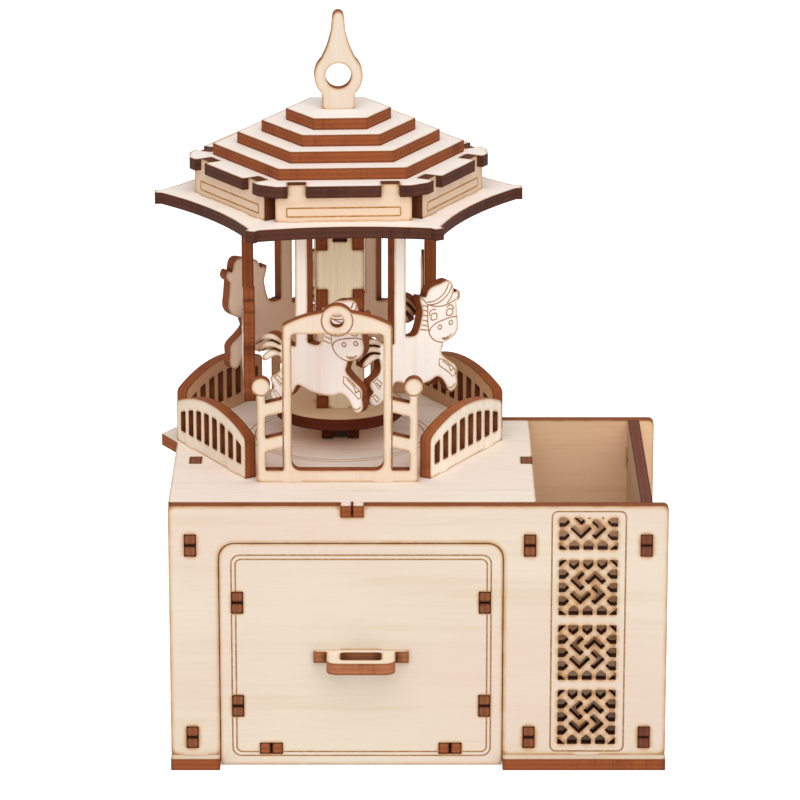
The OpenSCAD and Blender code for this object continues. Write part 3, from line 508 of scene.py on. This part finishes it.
@dataclass(frozen=True)
class Metal:
    """A metal of the movement, with fine tool marks."""

    name: str
    tone: Tone
    worn: Tone
    roughness: float
    metallic: float = 1.0

    def make(self) -> bpy.types.Material:
        """Makes the material.

        Returns:
            The material.
        """
        w = Weave(self.name)
        place = w.coords.outputs["Object"]
        marks = w.noise(w.stretched(place, (1.0, 0.15, 1.0)), 1800.0, 3.0)
        cloud = w.noise(place, 150.0, 3.0)
        w.link(w.mix(w.span(cloud, 0.35, 0.7), self.tone, self.worn), w.shader.inputs["Base Color"])
        w.shader.inputs["Metallic"].default_value = self.metallic
        w.link(w.span(marks, 0.2, 0.8, self.roughness - 0.07, self.roughness + 0.1),
               w.shader.inputs["Roughness"])
        w.bump(marks, 0.15, 0.02 * MM)
        return w.material


Stroke = list[tuple[float, float]]


@dataclass
class Board:
    """A flat place in space on which lines are drawn: a corner, a right-hand way and an up way."""

    origin: Vector
    right: Vector
    up: Vector

    @classmethod
    def front(cls, y: float) -> "Board":
        """Gives the upright board that looks to the front.

        Args:
            y: Its place in depth, in millimetres.

        Returns:
            The board; its right-hand way is x, its up way is z.
        """
        return cls(Vector((0, y, 0)) * MM, Vector((1, 0, 0)), Vector((0, 0, 1)))

    def matrix(self) -> Matrix:
        """Gives the matrix that carries (right, up, outward) in millimetres to the frame.

        Returns:
            The 4 by 4 matrix.
        """
        out = self.right.cross(self.up)
        m = Matrix((self.right, self.up, out)).transposed().to_4x4()
        m.translation = self.origin
        return m @ Matrix.Scale(MM, 4)


class Pen:
    """Draws burnt lines as thin flat beads on a board and gathers them in one piece."""

    # Height of a bead over its width
    FLATNESS = 0.16
    # Stretches of a round corner
    CORNER_STEPS = 6
    # Points nearer than this, in metres, become one
    WELD = 1e-7

    def __init__(self, name: str, board: Board, width: float = LINE_WIDTH) -> None:
        """Starts a piece.

        Args:
            name: The piece's name.
            board: Where it is drawn.
            width: The lines' width in millimetres.
        """
        self.name = name
        self.board = board
        self.width = width
        self.curve = bpy.data.curves.new(name, "CURVE")
        self.curve.dimensions = "3D"
        self.curve.bevel_depth = width / 2
        self.curve.bevel_resolution = 1
        self.curve.use_fill_caps = True

    def line(self, points: Stroke, closed: bool = False) -> None:
        """Draws a line of straight stretches.

        Args:
            points: Its points in millimetres on the board.
            closed: Whether the last point joins the first.
        """
        spline = self.curve.splines.new("POLY")
        spline.points.add(len(points) - 1)
        for spot, (x, y) in zip(spline.points, points):
            spot.co = (x, y, 0.0, 1.0)
        spline.use_cyclic_u = closed

    def bow(self, points: Stroke, steps: int = 6) -> None:
        """Draws a smooth line through points.

        Args:
            points: The points in millimetres on the board.
            steps: How many stretches lie between two points.
        """
        count = len(points)
        smooth: Stroke = []
        for i in range(count - 1):
            a, b, c, d = (points[min(max(i + k, 0), count - 1)] for k in (-1, 0, 1, 2))
            for k in range(steps):
                t = k / steps
                smooth.append(tuple(0.5 * (2 * q + (r - p) * t + (2 * p - 5 * q + 4 * r - s) * t * t
                                           + (3 * q - p - 3 * r + s) * t ** 3)
                                    for p, q, r, s in zip(a, b, c, d)))
        self.line(smooth + points[-1:])

    def ring(self, x: float, y: float, radius: float, start: float = 0.0, sweep: float = 360.0) -> None:
        """Draws a circle or an arc.

        Args:
            x: Its middle across, in millimetres.
            y: Its middle up.
            radius: Its radius.
            start: Where an arc starts, in degrees.
            sweep: How far it goes, in degrees.
        """
        whole = sweep >= 360.0
        steps = max(10, int(sweep / 360 * (16 + 5 * radius)))
        points = [(x + radius * math.cos(math.radians(start + sweep * k / steps)),
                   y + radius * math.sin(math.radians(start + sweep * k / steps)))
                  for k in range(steps if whole else steps + 1)]
        self.line(points, whole)

    def frame(self, x0: float, y0: float, x1: float, y1: float, radius: float,
              holes: tuple[tuple[float, float, float, float], ...] = ()) -> None:
        """Draws a rectangle with round corners, broken where it meets a hole.

        Args:
            x0: Its left side.
            y0: Its bottom.
            x1: Its right side.
            y1: Its top.
            radius: The corners' radius.
            holes: The holes' middles and half sizes, as (x, y, half width, half height).
        """
        points: Stroke = []
        for cx, cy, turn in ((x1 - radius, y0 + radius, -90), (x1 - radius, y1 - radius, 0),
                             (x0 + radius, y1 - radius, 90), (x0 + radius, y0 + radius, 180)):
            for k in range(self.CORNER_STEPS + 1):
                a = math.radians(turn + 90 * k / self.CORNER_STEPS)
                points.append((cx + radius * math.cos(a), cy + radius * math.sin(a)))
        if not holes:
            self.line(points, True)
            return
        run: Stroke = []
        for (ax, ay), (bx, by) in zip(points, points[1:] + points[:1]):
            steps = max(1, round(math.hypot(bx - ax, by - ay) / self.width))
            for k in range(steps):
                x, y = ax + (bx - ax) * k / steps, ay + (by - ay) * k / steps
                if not any(abs(x - hx) < hw and abs(y - hy) < hh for hx, hy, hw, hh in holes):
                    run.append((x, y))
                elif run:
                    self.line(run)
                    run = []
        self.line(run + points[:1])

    def done(self, body: str, material: bpy.types.Material) -> bpy.types.Object:
        """Makes the piece, flattened on the board.

        Args:
            body: The body it moves with.
            material: Its material.

        Returns:
            The piece.
        """
        holder = bpy.data.objects.new(self.name + "_path", self.curve)
        bpy.context.scene.collection.objects.link(holder)
        bpy.context.view_layer.update()
        mesh = bpy.data.meshes.new_from_object(holder)
        bpy.data.objects.remove(holder)
        mesh.name = self.name
        mesh.transform(self.board.matrix() @ Matrix.Diagonal((1.0, 1.0, self.FLATNESS, 1.0)))
        shape = bmesh.new()
        shape.from_mesh(mesh)
        bmesh.ops.remove_doubles(shape, verts=shape.verts, dist=self.WELD)
        bmesh.ops.recalc_face_normals(shape, faces=shape.faces)
        shape.to_mesh(mesh)
        shape.free()
        mesh.materials.clear()
        mesh.materials.append(material)
        piece = bpy.data.objects.new(self.name, mesh)
        bpy.context.scene.collection.objects.link(piece)
        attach(piece, body)
        LOG.info("drew %s with %d faces", self.name, len(mesh.polygons))
        return piece


@dataclass
class Wardrobe:
    """Holds the finishes and dresses the boards and the metal parts.

    Within the tie, in metres, a board's two faces count as equally far from its hub.
    """

    nodes: dict[str, bpy.types.Object]
    sheet: float = field(default_factory=lambda: highest("bottom_board").z - lowest("bottom_board").z)
    tie: float = 1e-6
    made: int = 0

    def facing(self, piece: bpy.types.Object, hub: Vector) -> Vector:
        """Finds the way the good face of a board looks: up, or away from the hub.

        Args:
            piece: The board.
            hub: The middle of the assembly that the board belongs to.

        Returns:
            The unit normal of the good face.
        """
        sums: dict[tuple[float, ...], float] = {}
        for face in piece.data.polygons:
            n = face.normal if max(face.normal, key=abs) > 0 else -face.normal
            key = tuple(round(c, 3) for c in n)
            sums[key] = sums.get(key, 0.0) + face.area
        normal = Vector(max(sums, key=lambda k: sums[k])).normalized()
        reach = [(v.co - hub).dot(normal) for v in piece.data.vertices]
        level = abs(normal.z) > 0.5
        outward = min(reach) + max(reach) > -self.tie
        return normal if level or outward else -normal

    def board(self, node: str, grain: Grain, scorch: Scorch = Scorch.SIENNA, hub: Vector = Vector(),
              stock: Plywood = Plywood()) -> None:
        """Dresses a plywood board.

        Args:
            node: The board's name.
            grain: The way its grain runs.
            scorch: How strongly its edges are browned.
            hub: The middle of the assembly that the board belongs to.
            stock: The plywood it is cut from.
        """
        piece = self.nodes[node]
        normal = self.facing(piece, hub)
        reach = [v.co.dot(normal) for v in piece.data.vertices]
        middle = (min(reach) + max(reach)) / 2
        self.wear(node, stock.make("plywood_" + node, normal, middle, self.sheet * MM, grain, scorch))

    def wear(self, node: str, stuff: bpy.types.Material) -> None:
        """Puts one material on a piece.

        Args:
            node: The piece's name.
            stuff: The material.
        """
        piece = self.nodes[node]
        if not piece.material_slots:
            piece.data.materials.append(stuff)
        for spot in piece.material_slots:
            spot.link = "OBJECT"
            spot.material = stuff
        self.made += 1
        LOG.info("dressed %s", node)


@dataclass
class Box:
    """The box under the platform: its panels, the lattice and the pen bay.

    The line round the lattice is given as left, bottom, right and top.
    """

    front_y: float = field(default_factory=lambda: lowest("front_panel").y)
    lattice: tuple[float, float, float, float] = (30.2, 3.7, 46.9, 61.5)
    lattice_r: float = 1.3

    def dress(self, wardrobe: Wardrobe) -> None:
        """Puts plywood on the panels.

        Args:
            wardrobe: What holds the finishes and puts them on.
        """
        wardrobe.board("bottom_board", Grain.ACROSS)
        # The lattice's cut walls get strong painted shade, going nearly black
        wardrobe.board("front_panel", Grain.ACROSS, stock=Plywood(
            halo=Tone.srgb(200, 151, 90), char_and_shade=Tone.srgb(32, 5, 1), reach=1.4, shade_pit_dark=0.9))
        wardrobe.board("back_panel", Grain.ACROSS, stock=Plywood(
            cream=Tone.srgb(238, 224, 204), blush=Tone.srgb(234, 216, 198)))
        wardrobe.board("top_plate", Grain.ACROSS, stock=Plywood(
            cream=Tone.srgb(244, 232, 217), blush=Tone.srgb(242, 225, 214), reach=0.65))
        for node in ("left_side_panel", "divider_panel", "drawer_runners"):
            wardrobe.board(node, Grain.DEEP, stock=BOX_SIDE)
        wardrobe.board("right_side_panel", Grain.DEEP, stock=replace(
            BOX_SIDE, sienna=Tone.srgb(116, 64, 46), umber=Tone.srgb(70, 38, 32), outline=0.6))

    def draw(self, ink: bpy.types.Material) -> None:
        """Draws the line round the lattice.

        Args:
            ink: The burnt line's material.
        """
        pen = Pen("lattice_outline", Board.front(self.front_y))
        pen.frame(*self.lattice, self.lattice_r)
        pen.done("box", ink)


@dataclass
class Drawer:
    """The drawer with its lined front and its handle.

    A line is given as left, bottom, right and top. The side tabs are given as their distance
    from the drawer's middle and their heights, the foot tabs as their places from it and
    their height, and the tabs' half sizes as the short one and the long one.
    """

    front_y: float = field(default_factory=lambda: lowest("drawer_front").y)
    middle_x: float = field(default_factory=lambda: centre("drawer_front").x)
    outer: tuple[float, float, float, float] = (-42.4, 2.6, 16.5, 51.1)
    inner: tuple[float, float, float, float] = (-41.45, 3.55, 15.6, 50.1)
    outer_r: float = 2.0
    inner_r: float = 1.3
    side_tabs: tuple[float, tuple[float, float]] = (28.1, (14.7, 39.7))
    foot_tabs: tuple[tuple[float, float], float] = ((-20.6, 20.3), 4.35)
    tab_half: tuple[float, float] = (1.4, 2.45)

    def holes(self) -> tuple[tuple[float, float, float, float], ...]:
        """Gives the holes of the drawer front in which tabs show.

        Returns:
            Their middles and half sizes.
        """
        away, heights = self.side_tabs
        spots, height = self.foot_tabs
        short, long = self.tab_half
        return tuple([(self.middle_x + way * away, z, short, long) for way in (-1, 1) for z in heights]
                     + [(self.middle_x + spot, height, long, short) for spot in spots])

    def dress(self, wardrobe: Wardrobe) -> None:
        """Puts plywood on the drawer's boards.

        Args:
            wardrobe: What holds the finishes and puts them on.
        """
        hub = Vector((self.middle_x, 0, 0)) * MM
        for node in ("drawer_front", "drawer_back"):
            wardrobe.board(node, Grain.ACROSS, hub=hub)
        wardrobe.board("drawer_bottom", Grain.ACROSS, hub=hub, stock=replace(
            BOX_SIDE, sienna=Tone.srgb(148, 82, 46), umber=Tone.srgb(102, 50, 25)))
        # Painted shade: a wide reach darkens the handle's opening and the edges beside it
        wardrobe.board("drawer_handle", Grain.ACROSS, hub=hub, stock=Plywood(
            cream=Tone.srgb(236, 222, 202), sienna=Tone.srgb(172, 108, 70), umber=Tone.srgb(118, 62, 34),
            char_and_shade=Tone.srgb(36, 9, 2), shade_pit=12.0, shade_pit_dark=0.95))
        for node in ("drawer_left_side", "drawer_right_side"):
            wardrobe.board(node, Grain.DEEP, hub=hub, stock=BOX_SIDE)

    def draw(self, ink: bpy.types.Material) -> None:
        """Draws the two lines on the drawer front.

        Args:
            ink: The burnt line's material.
        """
        pen = Pen("drawer_front_lines", Board.front(self.front_y))
        pen.frame(*self.outer, self.outer_r, self.holes())
        pen.frame(*self.inner, self.inner_r, self.holes())
        pen.done("drawer", ink)


@dataclass
class Carousel:
    """What turns: hub, column, roof and horses, about an upright axis."""

    axis: Vector = field(default_factory=lambda: centre("turntable_disc"))
    turn: float = 2.9
    skirt_r: float = 29.6
    skirt_z: tuple[float, float] = (122.55, 128.5)
    skirt_line_half: float = 12.9
    skirt_line_foot: float = 1.25
    skirt_line_head: float = 2.7
    skirt_line_r: float = 0.25
    horse_r: float = 22.8

    def hub(self) -> Vector:
        """Gives the foot of the axis, in metres."""
        return Vector((self.axis.x, self.axis.y, 0)) * MM

    def side(self, angle: float, radius: float, rides: bool = True) -> Board:
        """Gives an upright board that faces away from the axis.

        Args:
            angle: How far it is turned from the front, in degrees.
            radius: Distance of its outer face from the axis.
            rides: Whether it turns with the carousel.

        Returns:
            The board; its right-hand way runs along the face, its up way is up.
        """
        a = math.radians(angle + (self.turn if rides else 0.0))
        right = Vector((math.cos(a), math.sin(a), 0))
        out = Vector((math.sin(a), -math.cos(a), 0))
        return Board(self.hub() + out * radius * MM, right, Vector((0, 0, 1)))

    def level(self, height: float) -> Board:
        """Gives a level board round the axis that stays with the box.

        Args:
            height: Its height.

        Returns:
            The board; its right-hand way is x, its up way is y.
        """
        return Board(self.hub() + Vector((0, 0, height)) * MM, Vector((1, 0, 0)), Vector((0, 1, 0)))

    def dress(self, wardrobe: Wardrobe) -> None:
        """Puts plywood on the carousel's boards.

        Args:
            wardrobe: What holds the finishes and puts them on.
        """
        hub = self.hub()
        # pale: a lighter plywood; on the roof's tops and the horses under the roof the extra lightness
        # is also painted light
        pale = Plywood(cream=Tone.srgb(252, 243, 234), blush=Tone.srgb(250, 236, 228),
                       streak=Tone.srgb(238, 215, 190), smoke_and_shade=Tone.srgb(252, 234, 216),
                       ash=Tone.srgb(84, 47, 34))
        # Painted light and shade on the hub and disc under the roof: a lighter, warmer face for bounced
        # light, darker rust edges for their shade
        painted_light_and_shade = Plywood(cream=Tone.srgb(252, 226, 192), blush=Tone.srgb(247, 218, 184),
                         streak=Tone.srgb(226, 188, 146), rust=Tone.srgb(96, 37, 15))
        olive = Plywood(cream=Tone.srgb(254, 242, 212), blush=Tone.srgb(250, 236, 205))
        # tan: browner plywood for the skirts, darkened further as painted shade
        tan = Plywood(cream=Tone.srgb(221, 196, 170), blush=Tone.srgb(217, 190, 166),
                      streak=Tone.srgb(200, 168, 136), sienna=Tone.srgb(96, 48, 26),
                      umber=Tone.srgb(60, 28, 14))
        for node in ("column_front", "column_back", "column_left", "column_right"):
            wardrobe.board(node, Grain.UPRIGHT, hub=hub, stock=olive)
        for node in ("drive_hub", "turntable_disc"):
            wardrobe.board(node, Grain.ACROSS, Scorch.RUST, hub, painted_light_and_shade)
        for node in ("eave_board", "ring_board"):
            wardrobe.board(node, Grain.ACROSS, Scorch.DARK, hub, pale)
        for i in range(1, 5):
            wardrobe.board(f"roof_tier_{i}", Grain.ACROSS, hub=hub, stock=pale)
        for side in ("front", "front_right", "back_right", "back", "back_left", "front_left"):
            wardrobe.board("skirt_" + side, Grain.ACROSS, hub=hub, stock=tan)
        behind_finial = hub + Vector((0, self.skirt_r, 0)) * MM
        wardrobe.board("finial", Grain.UPRIGHT, hub=behind_finial)
        for i in range(1, 7):
            wardrobe.board(f"horse_{i}", Grain.UPRIGHT, hub=hub, stock=pale)

    def draw_skirts(self, ink: bpy.types.Material) -> None:
        """Draws a long frame on each skirt panel.

        Args:
            ink: The burnt line's material.
        """
        low, high = self.skirt_z
        half = self.skirt_line_half
        for k in range(6):
            pen = Pen(f"skirt_lines_{k + 1}", self.side(60 * k, self.skirt_r))
            pen.frame(-half, low + self.skirt_line_foot, half, high - self.skirt_line_head,
                      self.skirt_line_r)
            pen.done("carousel", ink)

    def draw_horses(self, ink: bpy.types.Material) -> None:
        """Draws face, mane and harness on each horse.

        Args:
            ink: The burnt line's material.
        """
        for k in range(6):
            pen = Pen(f"horse_lines_{k + 1}", self.side(30 + 60 * k, self.horse_r), FINE_WIDTH)
            Horse().draw(pen)
            pen.done("carousel", ink)


@dataclass
class Horse:
    """The lines on a horse, in millimetres along and up its plate."""

    eyes: Stroke = field(default_factory=lambda: [(11.6, 95.35), (15.95, 95.8)])
    eye_half: float = 0.85
    eye_under: float = 0.8
    eye_over: float = 0.75
    eye_r: float = 0.55
    nostrils: Stroke = field(default_factory=lambda: [(13.25, 92.55), (16.3, 93.2)])
    nostril_r: float = 0.5

    def draw(self, pen: Pen) -> None:
        """Draws all lines of one horse.

        Args:
            pen: The pen, on the horse's plate.
        """
        self.draw_face(pen)
        self.draw_hair(pen)
        self.draw_legs(pen)

    def draw_face(self, pen: Pen) -> None:
        """Draws the eyes, the nostrils and the lines round them.

        Args:
            pen: The pen, on the horse's plate.
        """
        for x, y in self.eyes:
            pen.frame(x - self.eye_half, y - self.eye_under, x + self.eye_half, y + self.eye_over,
                      self.eye_r)
        brows = ([(10.3, 95.7), (10.45, 96.6), (11.2, 97.1), (12.1, 97.0)],
                 [(15.2, 97.0), (15.9, 97.5), (16.7, 97.2), (17.1, 96.3)])
        for brow in brows:
            pen.bow(brow)
        for x, y in self.nostrils:
            pen.ring(x, y, self.nostril_r)
        smile = [(13.8, 89.9), (14.5, 89.45), (15.4, 89.55), (16.5, 90.4)]
        lip = [(14.1, 89.75), (14.9, 89.75), (15.6, 89.95)]
        muzzle = [(10.3, 91.9), (10.9, 92.9), (12.4, 93.7), (14.5, 94.2), (16.5, 94.5), (18.0, 94.4)]
        cheek = [(9.9, 98.5), (9.85, 95.6), (10.05, 92.6), (10.6, 90.9), (11.8, 89.6), (13.4, 88.9),
                 (14.2, 88.75)]
        for stroke in (smile, lip, muzzle, cheek):
            pen.bow(stroke)

    def draw_hair(self, pen: Pen) -> None:
        """Draws the fringe, the ears and the mane's tufts.

        Args:
            pen: The pen, on the horse's plate.
        """
        fringe = [(9.6, 98.7), (11.2, 98.0), (13.0, 97.6), (15.0, 97.7), (16.7, 98.2), (17.7, 98.7)]
        locks = ([(9.7, 99.1), (11.6, 99.1), (13.6, 99.9), (15.0, 101.3), (15.7, 102.9)],
                 [(10.6, 98.3), (12.8, 98.5), (14.7, 99.5), (16.1, 101.0), (16.6, 102.3)],
                 [(15.2, 98.0), (16.3, 99.2), (16.9, 100.6)])
        ears = ([(8.3, 100.1), (9.0, 99.5), (9.5, 98.8)], [(18.3, 100.2), (18.4, 99.3), (17.9, 98.8)])
        for stroke in (fringe, *locks, *ears):
            pen.bow(stroke)
        tufts = ((8.3, 98.5), (8.55, 97.3), (8.6, 96.1), (8.5, 94.9), (8.25, 93.8), (7.8, 92.8))
        neck_x = 9.7
        bend, middle_drop, end_drop = 0.8, 0.15, 0.45
        for x, y in tufts:
            pen.bow([(x, y), (x + bend, y - middle_drop), (neck_x, y - end_drop)])

    def draw_legs(self, pen: Pen) -> None:
        """Draws the bands on the legs and the front hoof's rim.

        Args:
            pen: The pen, on the horse's plate.
        """
        front_band = [(13.1, 84.9), (13.1, 83.3), (15.9, 81.1), (16.9, 80.0), (17.6, 80.5),
                      (17.4, 81.8), (15.4, 83.7), (14.2, 84.6)]
        front_fold = [(14.0, 84.3), (15.8, 82.8), (16.3, 81.4)]
        front_tie = [(16.3, 81.4), (17.1, 82.0)]
        front_hoof = [(15.7, 77.6), (16.6, 77.4), (17.5, 78.2)]
        back_band = [(-5.0, 82.2), (-4.1, 82.9), (-2.7, 81.5), (-3.5, 80.3)]
        back_fold = [(-4.4, 82.0), (-3.2, 80.9)]
        back_cuff = [(-5.3, 78.7), (-4.7, 79.1), (-3.4, 77.8), (-4.0, 77.2)]
        pen.line(front_band, True)
        pen.line(front_fold)
        pen.line(front_tie)
        pen.bow(front_hoof)
        pen.line(back_band, True)
        pen.line(back_fold)
        pen.line(back_cuff, True)


@dataclass
class Platform:
    """The fenced platform: gate, fences and the circles on the floor.

    The medallion is given as height and radius, a ball as distance from the middle, height
    and radius, the door as half width, sill and top, and an arc as start and sweep in degrees.
    """

    carousel: Carousel
    floor_z: float = field(default_factory=lambda: highest("top_plate").z)
    gate_y: float = field(default_factory=lambda: lowest("entrance_gate").y)
    circles: tuple[float, float] = (21.35, 20.0)
    medallion: tuple[float, float] = (101.2, 3.65)
    medallion_arc: tuple[float, float] = (152, 236)
    ball: tuple[float, float, float] = (17.4, 85.5, 2.1)
    ball_arc: tuple[float, float] = (205, 130)
    door: tuple[float, float, float] = (12.4, 65.6, 100.0)
    door_line_ends: tuple[float, float] = (0.2, 0.3)
    arc_inset: float = 0.1

    def dress(self, wardrobe: Wardrobe) -> None:
        """Puts plywood on the gate and the fences.

        Args:
            wardrobe: What holds the finishes and puts them on.
        """
        hub = self.carousel.hub()
        # rail: its back tint is darker, painting shade on the fences' inner faces as well as fume stain
        rail = Plywood(cream=Tone.srgb(238, 222, 202), blush=Tone.srgb(234, 214, 194),
                       smoke_and_shade=Tone.srgb(222, 176, 136))
        gate = Plywood(cream=Tone.srgb(222, 204, 184), blush=Tone.srgb(220, 197, 178))
        wardrobe.board("entrance_gate", Grain.UPRIGHT, hub=hub, stock=gate)
        # Painted light: a lighter copy of the rail stock, faces and edges, for the light from the right
        # on the front-right fence
        wardrobe.board("fence_front_right", Grain.UPRIGHT, hub=hub, stock=replace(
            rail, cream=Tone.srgb(253, 242, 226), blush=Tone.srgb(250, 235, 219),
            sienna=Tone.srgb(168, 96, 56), umber=Tone.srgb(122, 62, 34)))
        for side in ("front_left", "back_left", "back_right", "back"):
            wardrobe.board("fence_" + side, Grain.UPRIGHT, hub=hub, stock=rail)

    def draw(self, ink: bpy.types.Material, fine_ink: bpy.types.Material) -> None:
        """Draws the circles on the floor and the lines on the gate.

        Args:
            ink: The material of the gate's lines.
            fine_ink: The material of the circles.
        """
        pen = Pen("floor_circles", self.carousel.level(self.floor_z), FINE_WIDTH)
        for radius in self.circles:
            pen.ring(0, 0, radius)
        pen.done("box", fine_ink)
        gate_r = self.carousel.axis.y - self.gate_y
        gate = Pen("gate_lines", self.carousel.side(0, gate_r, False))
        height, radius = self.medallion
        gate.ring(0, height, radius - self.arc_inset, *self.medallion_arc)
        half, sill, top = self.door
        foot, head = self.door_line_ends
        x, z, r = self.ball
        for way in (-1, 1):
            gate.line([(way * half, sill + foot), (way * half, top - head)])
            gate.ring(way * x, z, r - self.arc_inset, *self.ball_arc)
        gate.done("box", ink)


@dataclass
class Movement:
    """The musical movement that hangs under the platform."""

    brass: Metal = Metal("brass_satin", Tone.srgb(206, 168, 92), Tone.srgb(176, 138, 70), 0.32)
    steel: Metal = Metal("comb_steel", Tone.srgb(150, 150, 150), Tone.srgb(112, 112, 114), 0.38)
    # The spindle's dark tone is partly dark steel, partly painted shade between the hub's cheeks
    black: Metal = Metal("dark_steel_and_shade", Tone.srgb(62, 48, 40), Tone.srgb(44, 34, 30), 0.5, 0.6)
    zinc: Metal = Metal("zinc_casting", Tone.srgb(150, 152, 155), Tone.srgb(122, 124, 128), 0.5, 0.85)

    def dress(self, wardrobe: Wardrobe) -> None:
        """Puts the metals on the movement's parts.

        Args:
            wardrobe: What holds the finishes and puts them on.
        """
        metals = {
            self.brass.make(): ("spring_housing", "comb_screws", "pinned_cylinder"),
            self.steel.make(): ("music_comb", "movement_screws"),
            self.black.make(): ("spindle",),
            self.zinc.make(): ("movement_bedplate", "governor_housing"),
        }
        for stuff, nodes in metals.items():
            for node in nodes:
                wardrobe.wear(node, stuff)


def seen_rays(tree: bpy.types.NodeTree) -> bpy.types.NodeSocket:
    """Adds nodes that tell what is seen, straight, mirrored or through something clear.

    Args:
        tree: The node tree of a material or of the world.

    Returns:
        A value's socket, 1 on such rays and 0 on those that light the object.
    """
    path = tree.nodes.new("ShaderNodeLightPath")
    seen = path.outputs["Is Camera Ray"]
    for name in ("Is Glossy Ray", "Is Transmission Ray"):
        peak = tree.nodes.new("ShaderNodeMath")
        peak.operation = "MAXIMUM"
        tree.links.new(seen, peak.inputs[0])
        tree.links.new(path.outputs[name], peak.inputs[1])
        seen = peak.outputs[0]
    return seen


@dataclass(frozen=True)
class Lamp:
    """A square soft lamp: its place and side in metres, its power in watts and its colour."""

    name: str
    place: tuple[float, float, float]
    size: float
    energy: float
    tone: Tone = Tone(1.0, 0.985, 0.965)

    def hang(self, aim: Vector) -> None:
        """Hangs the lamp.

        Args:
            aim: The spot that it looks at, in metres.
        """
        data = bpy.data.lights.new(self.name, "AREA")
        data.shape = "SQUARE"
        data.size = self.size
        data.energy = self.energy
        data.color = (self.tone.red, self.tone.green, self.tone.blue)
        lamp = bpy.data.objects.new(self.name, data)
        bpy.context.scene.collection.objects.link(lamp)
        lamp.location = self.place
        lamp.rotation_euler = (aim - Vector(self.place)).to_track_quat("-Z", "Y").to_euler()


@dataclass
class Studio:
    """White floor, soft light and the camera.

    The camera's place is in millimetres and its dip below the level in degrees. The floor's
    size and drop, the clip distances and the height that the lamps aim at are in metres.
    """

    camera_at: tuple[float, float, float] = (-4.15, -1005.3, 387.7)
    dip: float = 17.13
    lens: float = 204.87
    sensor: float = 36.0
    clip: tuple[float, float] = (0.05, 20.0)
    floor_size: float = 8.0
    floor_drop: float = 0.00002
    floor_grey: float = 0.86
    floor_glow: float = 0.62
    world_light: float = 0.52
    aim_height: float = 0.07
    lamps: tuple[Lamp, ...] = (
        Lamp("left", (-0.75, -0.95, 0.38), 0.8, 1.4),
        Lamp("right", (0.75, -0.95, 0.38), 0.8, 1.4),
        Lamp("top", (0.05, -0.88, 0.95), 1.3, 12.4, Tone(1.0, 1.0, 1.0)),
    )

    def ground(self) -> None:
        """Lays a wide white floor that keeps the object's shadow."""
        shape = bmesh.new()
        bmesh.ops.create_grid(shape, x_segments=2, y_segments=2, size=self.floor_size / 2)
        mesh = bpy.data.meshes.new("floor")
        shape.to_mesh(mesh)
        shape.free()
        floor = bpy.data.objects.new("floor", mesh)
        bpy.context.scene.collection.objects.link(floor)
        mesh.transform(Matrix.Translation((0, 0, -self.floor_drop)))
        w = Weave("floor_white")
        w.shader.inputs["Base Color"].default_value = (self.floor_grey,) * 3 + (1,)
        w.shader.inputs["Roughness"].default_value = 0.9
        w.shader.inputs["Specular IOR Level"].default_value = 0.0
        w.shader.inputs["Emission Color"].default_value = (1, 1, 1, 1)
        glow = w.math("MULTIPLY", seen_rays(w.tree), self.floor_glow)
        w.link(glow, w.shader.inputs["Emission Strength"])
        mesh.materials.append(w.material)

    def sky(self) -> None:
        """Sets an even white surround, full white where it is seen."""
        world = bpy.data.worlds.new("studio")
        bpy.context.scene.world = world
        world.use_nodes = True
        tree = world.node_tree
        tree.nodes.clear()
        out = tree.nodes.new("ShaderNodeOutputWorld")
        light = tree.nodes.new("ShaderNodeBackground")
        light.inputs["Color"].default_value = (1.0, 1.0, 1.0, 1.0)
        strength = tree.nodes.new("ShaderNodeMapRange")
        tree.links.new(seen_rays(tree), strength.inputs["Value"])
        strength.inputs["To Min"].default_value = self.world_light
        strength.inputs["To Max"].default_value = 1.0
        tree.links.new(strength.outputs["Result"], light.inputs["Strength"])
        tree.links.new(light.outputs[0], out.inputs[0])

    def lights(self) -> None:
        """Hangs the lamps, which look at the object's middle."""
        for lamp in self.lamps:
            lamp.hang(Vector((0.0, 0.0, self.aim_height)))

    def camera(self) -> None:
        """Sets the camera."""
        data = bpy.data.cameras.new("camera")
        data.sensor_fit = "AUTO"
        data.sensor_width = self.sensor
        data.lens = self.lens
        data.clip_start, data.clip_end = self.clip
        eye = bpy.data.objects.new("camera", data)
        bpy.context.scene.collection.objects.link(eye)
        eye.location = Vector(self.camera_at) * MM
        eye.rotation_euler = (math.radians(90.0 - self.dip), 0.0, 0.0)
        bpy.context.scene.camera = eye

    def build(self) -> None:
        """Builds floor, surround, lamps and camera."""
        self.ground()
        self.sky()
        self.lights()
        self.camera()
        bpy.context.scene.view_settings.view_transform = "Standard"


def main() -> None:
    """Builds and dresses the music box in order."""
    logging.basicConfig(level=logging.INFO, format="%(name)s: %(message)s")
    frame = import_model()
    wardrobe = Wardrobe(frame["nodes"])
    ink = BurntLine().make()
    fine_ink = BurntLine("fine_burnt_line", Tone.srgb(160, 110, 56), Tone.srgb(192, 144, 86)).make()
    box, drawer, carousel = Box(), Drawer(), Carousel()
    platform = Platform(carousel)
    box.dress(wardrobe)
    drawer.dress(wardrobe)
    platform.dress(wardrobe)
    carousel.dress(wardrobe)
    Movement().dress(wardrobe)
    LOG.info("dressed %d of %d parts", wardrobe.made, len(frame["nodes"]))
    box.draw(ink)
    drawer.draw(ink)
    platform.draw(ink, fine_ink)
    carousel.draw_skirts(fine_ink)
    carousel.draw_horses(fine_ink)
    Studio().build()


if __name__ == "__main__":
    main()
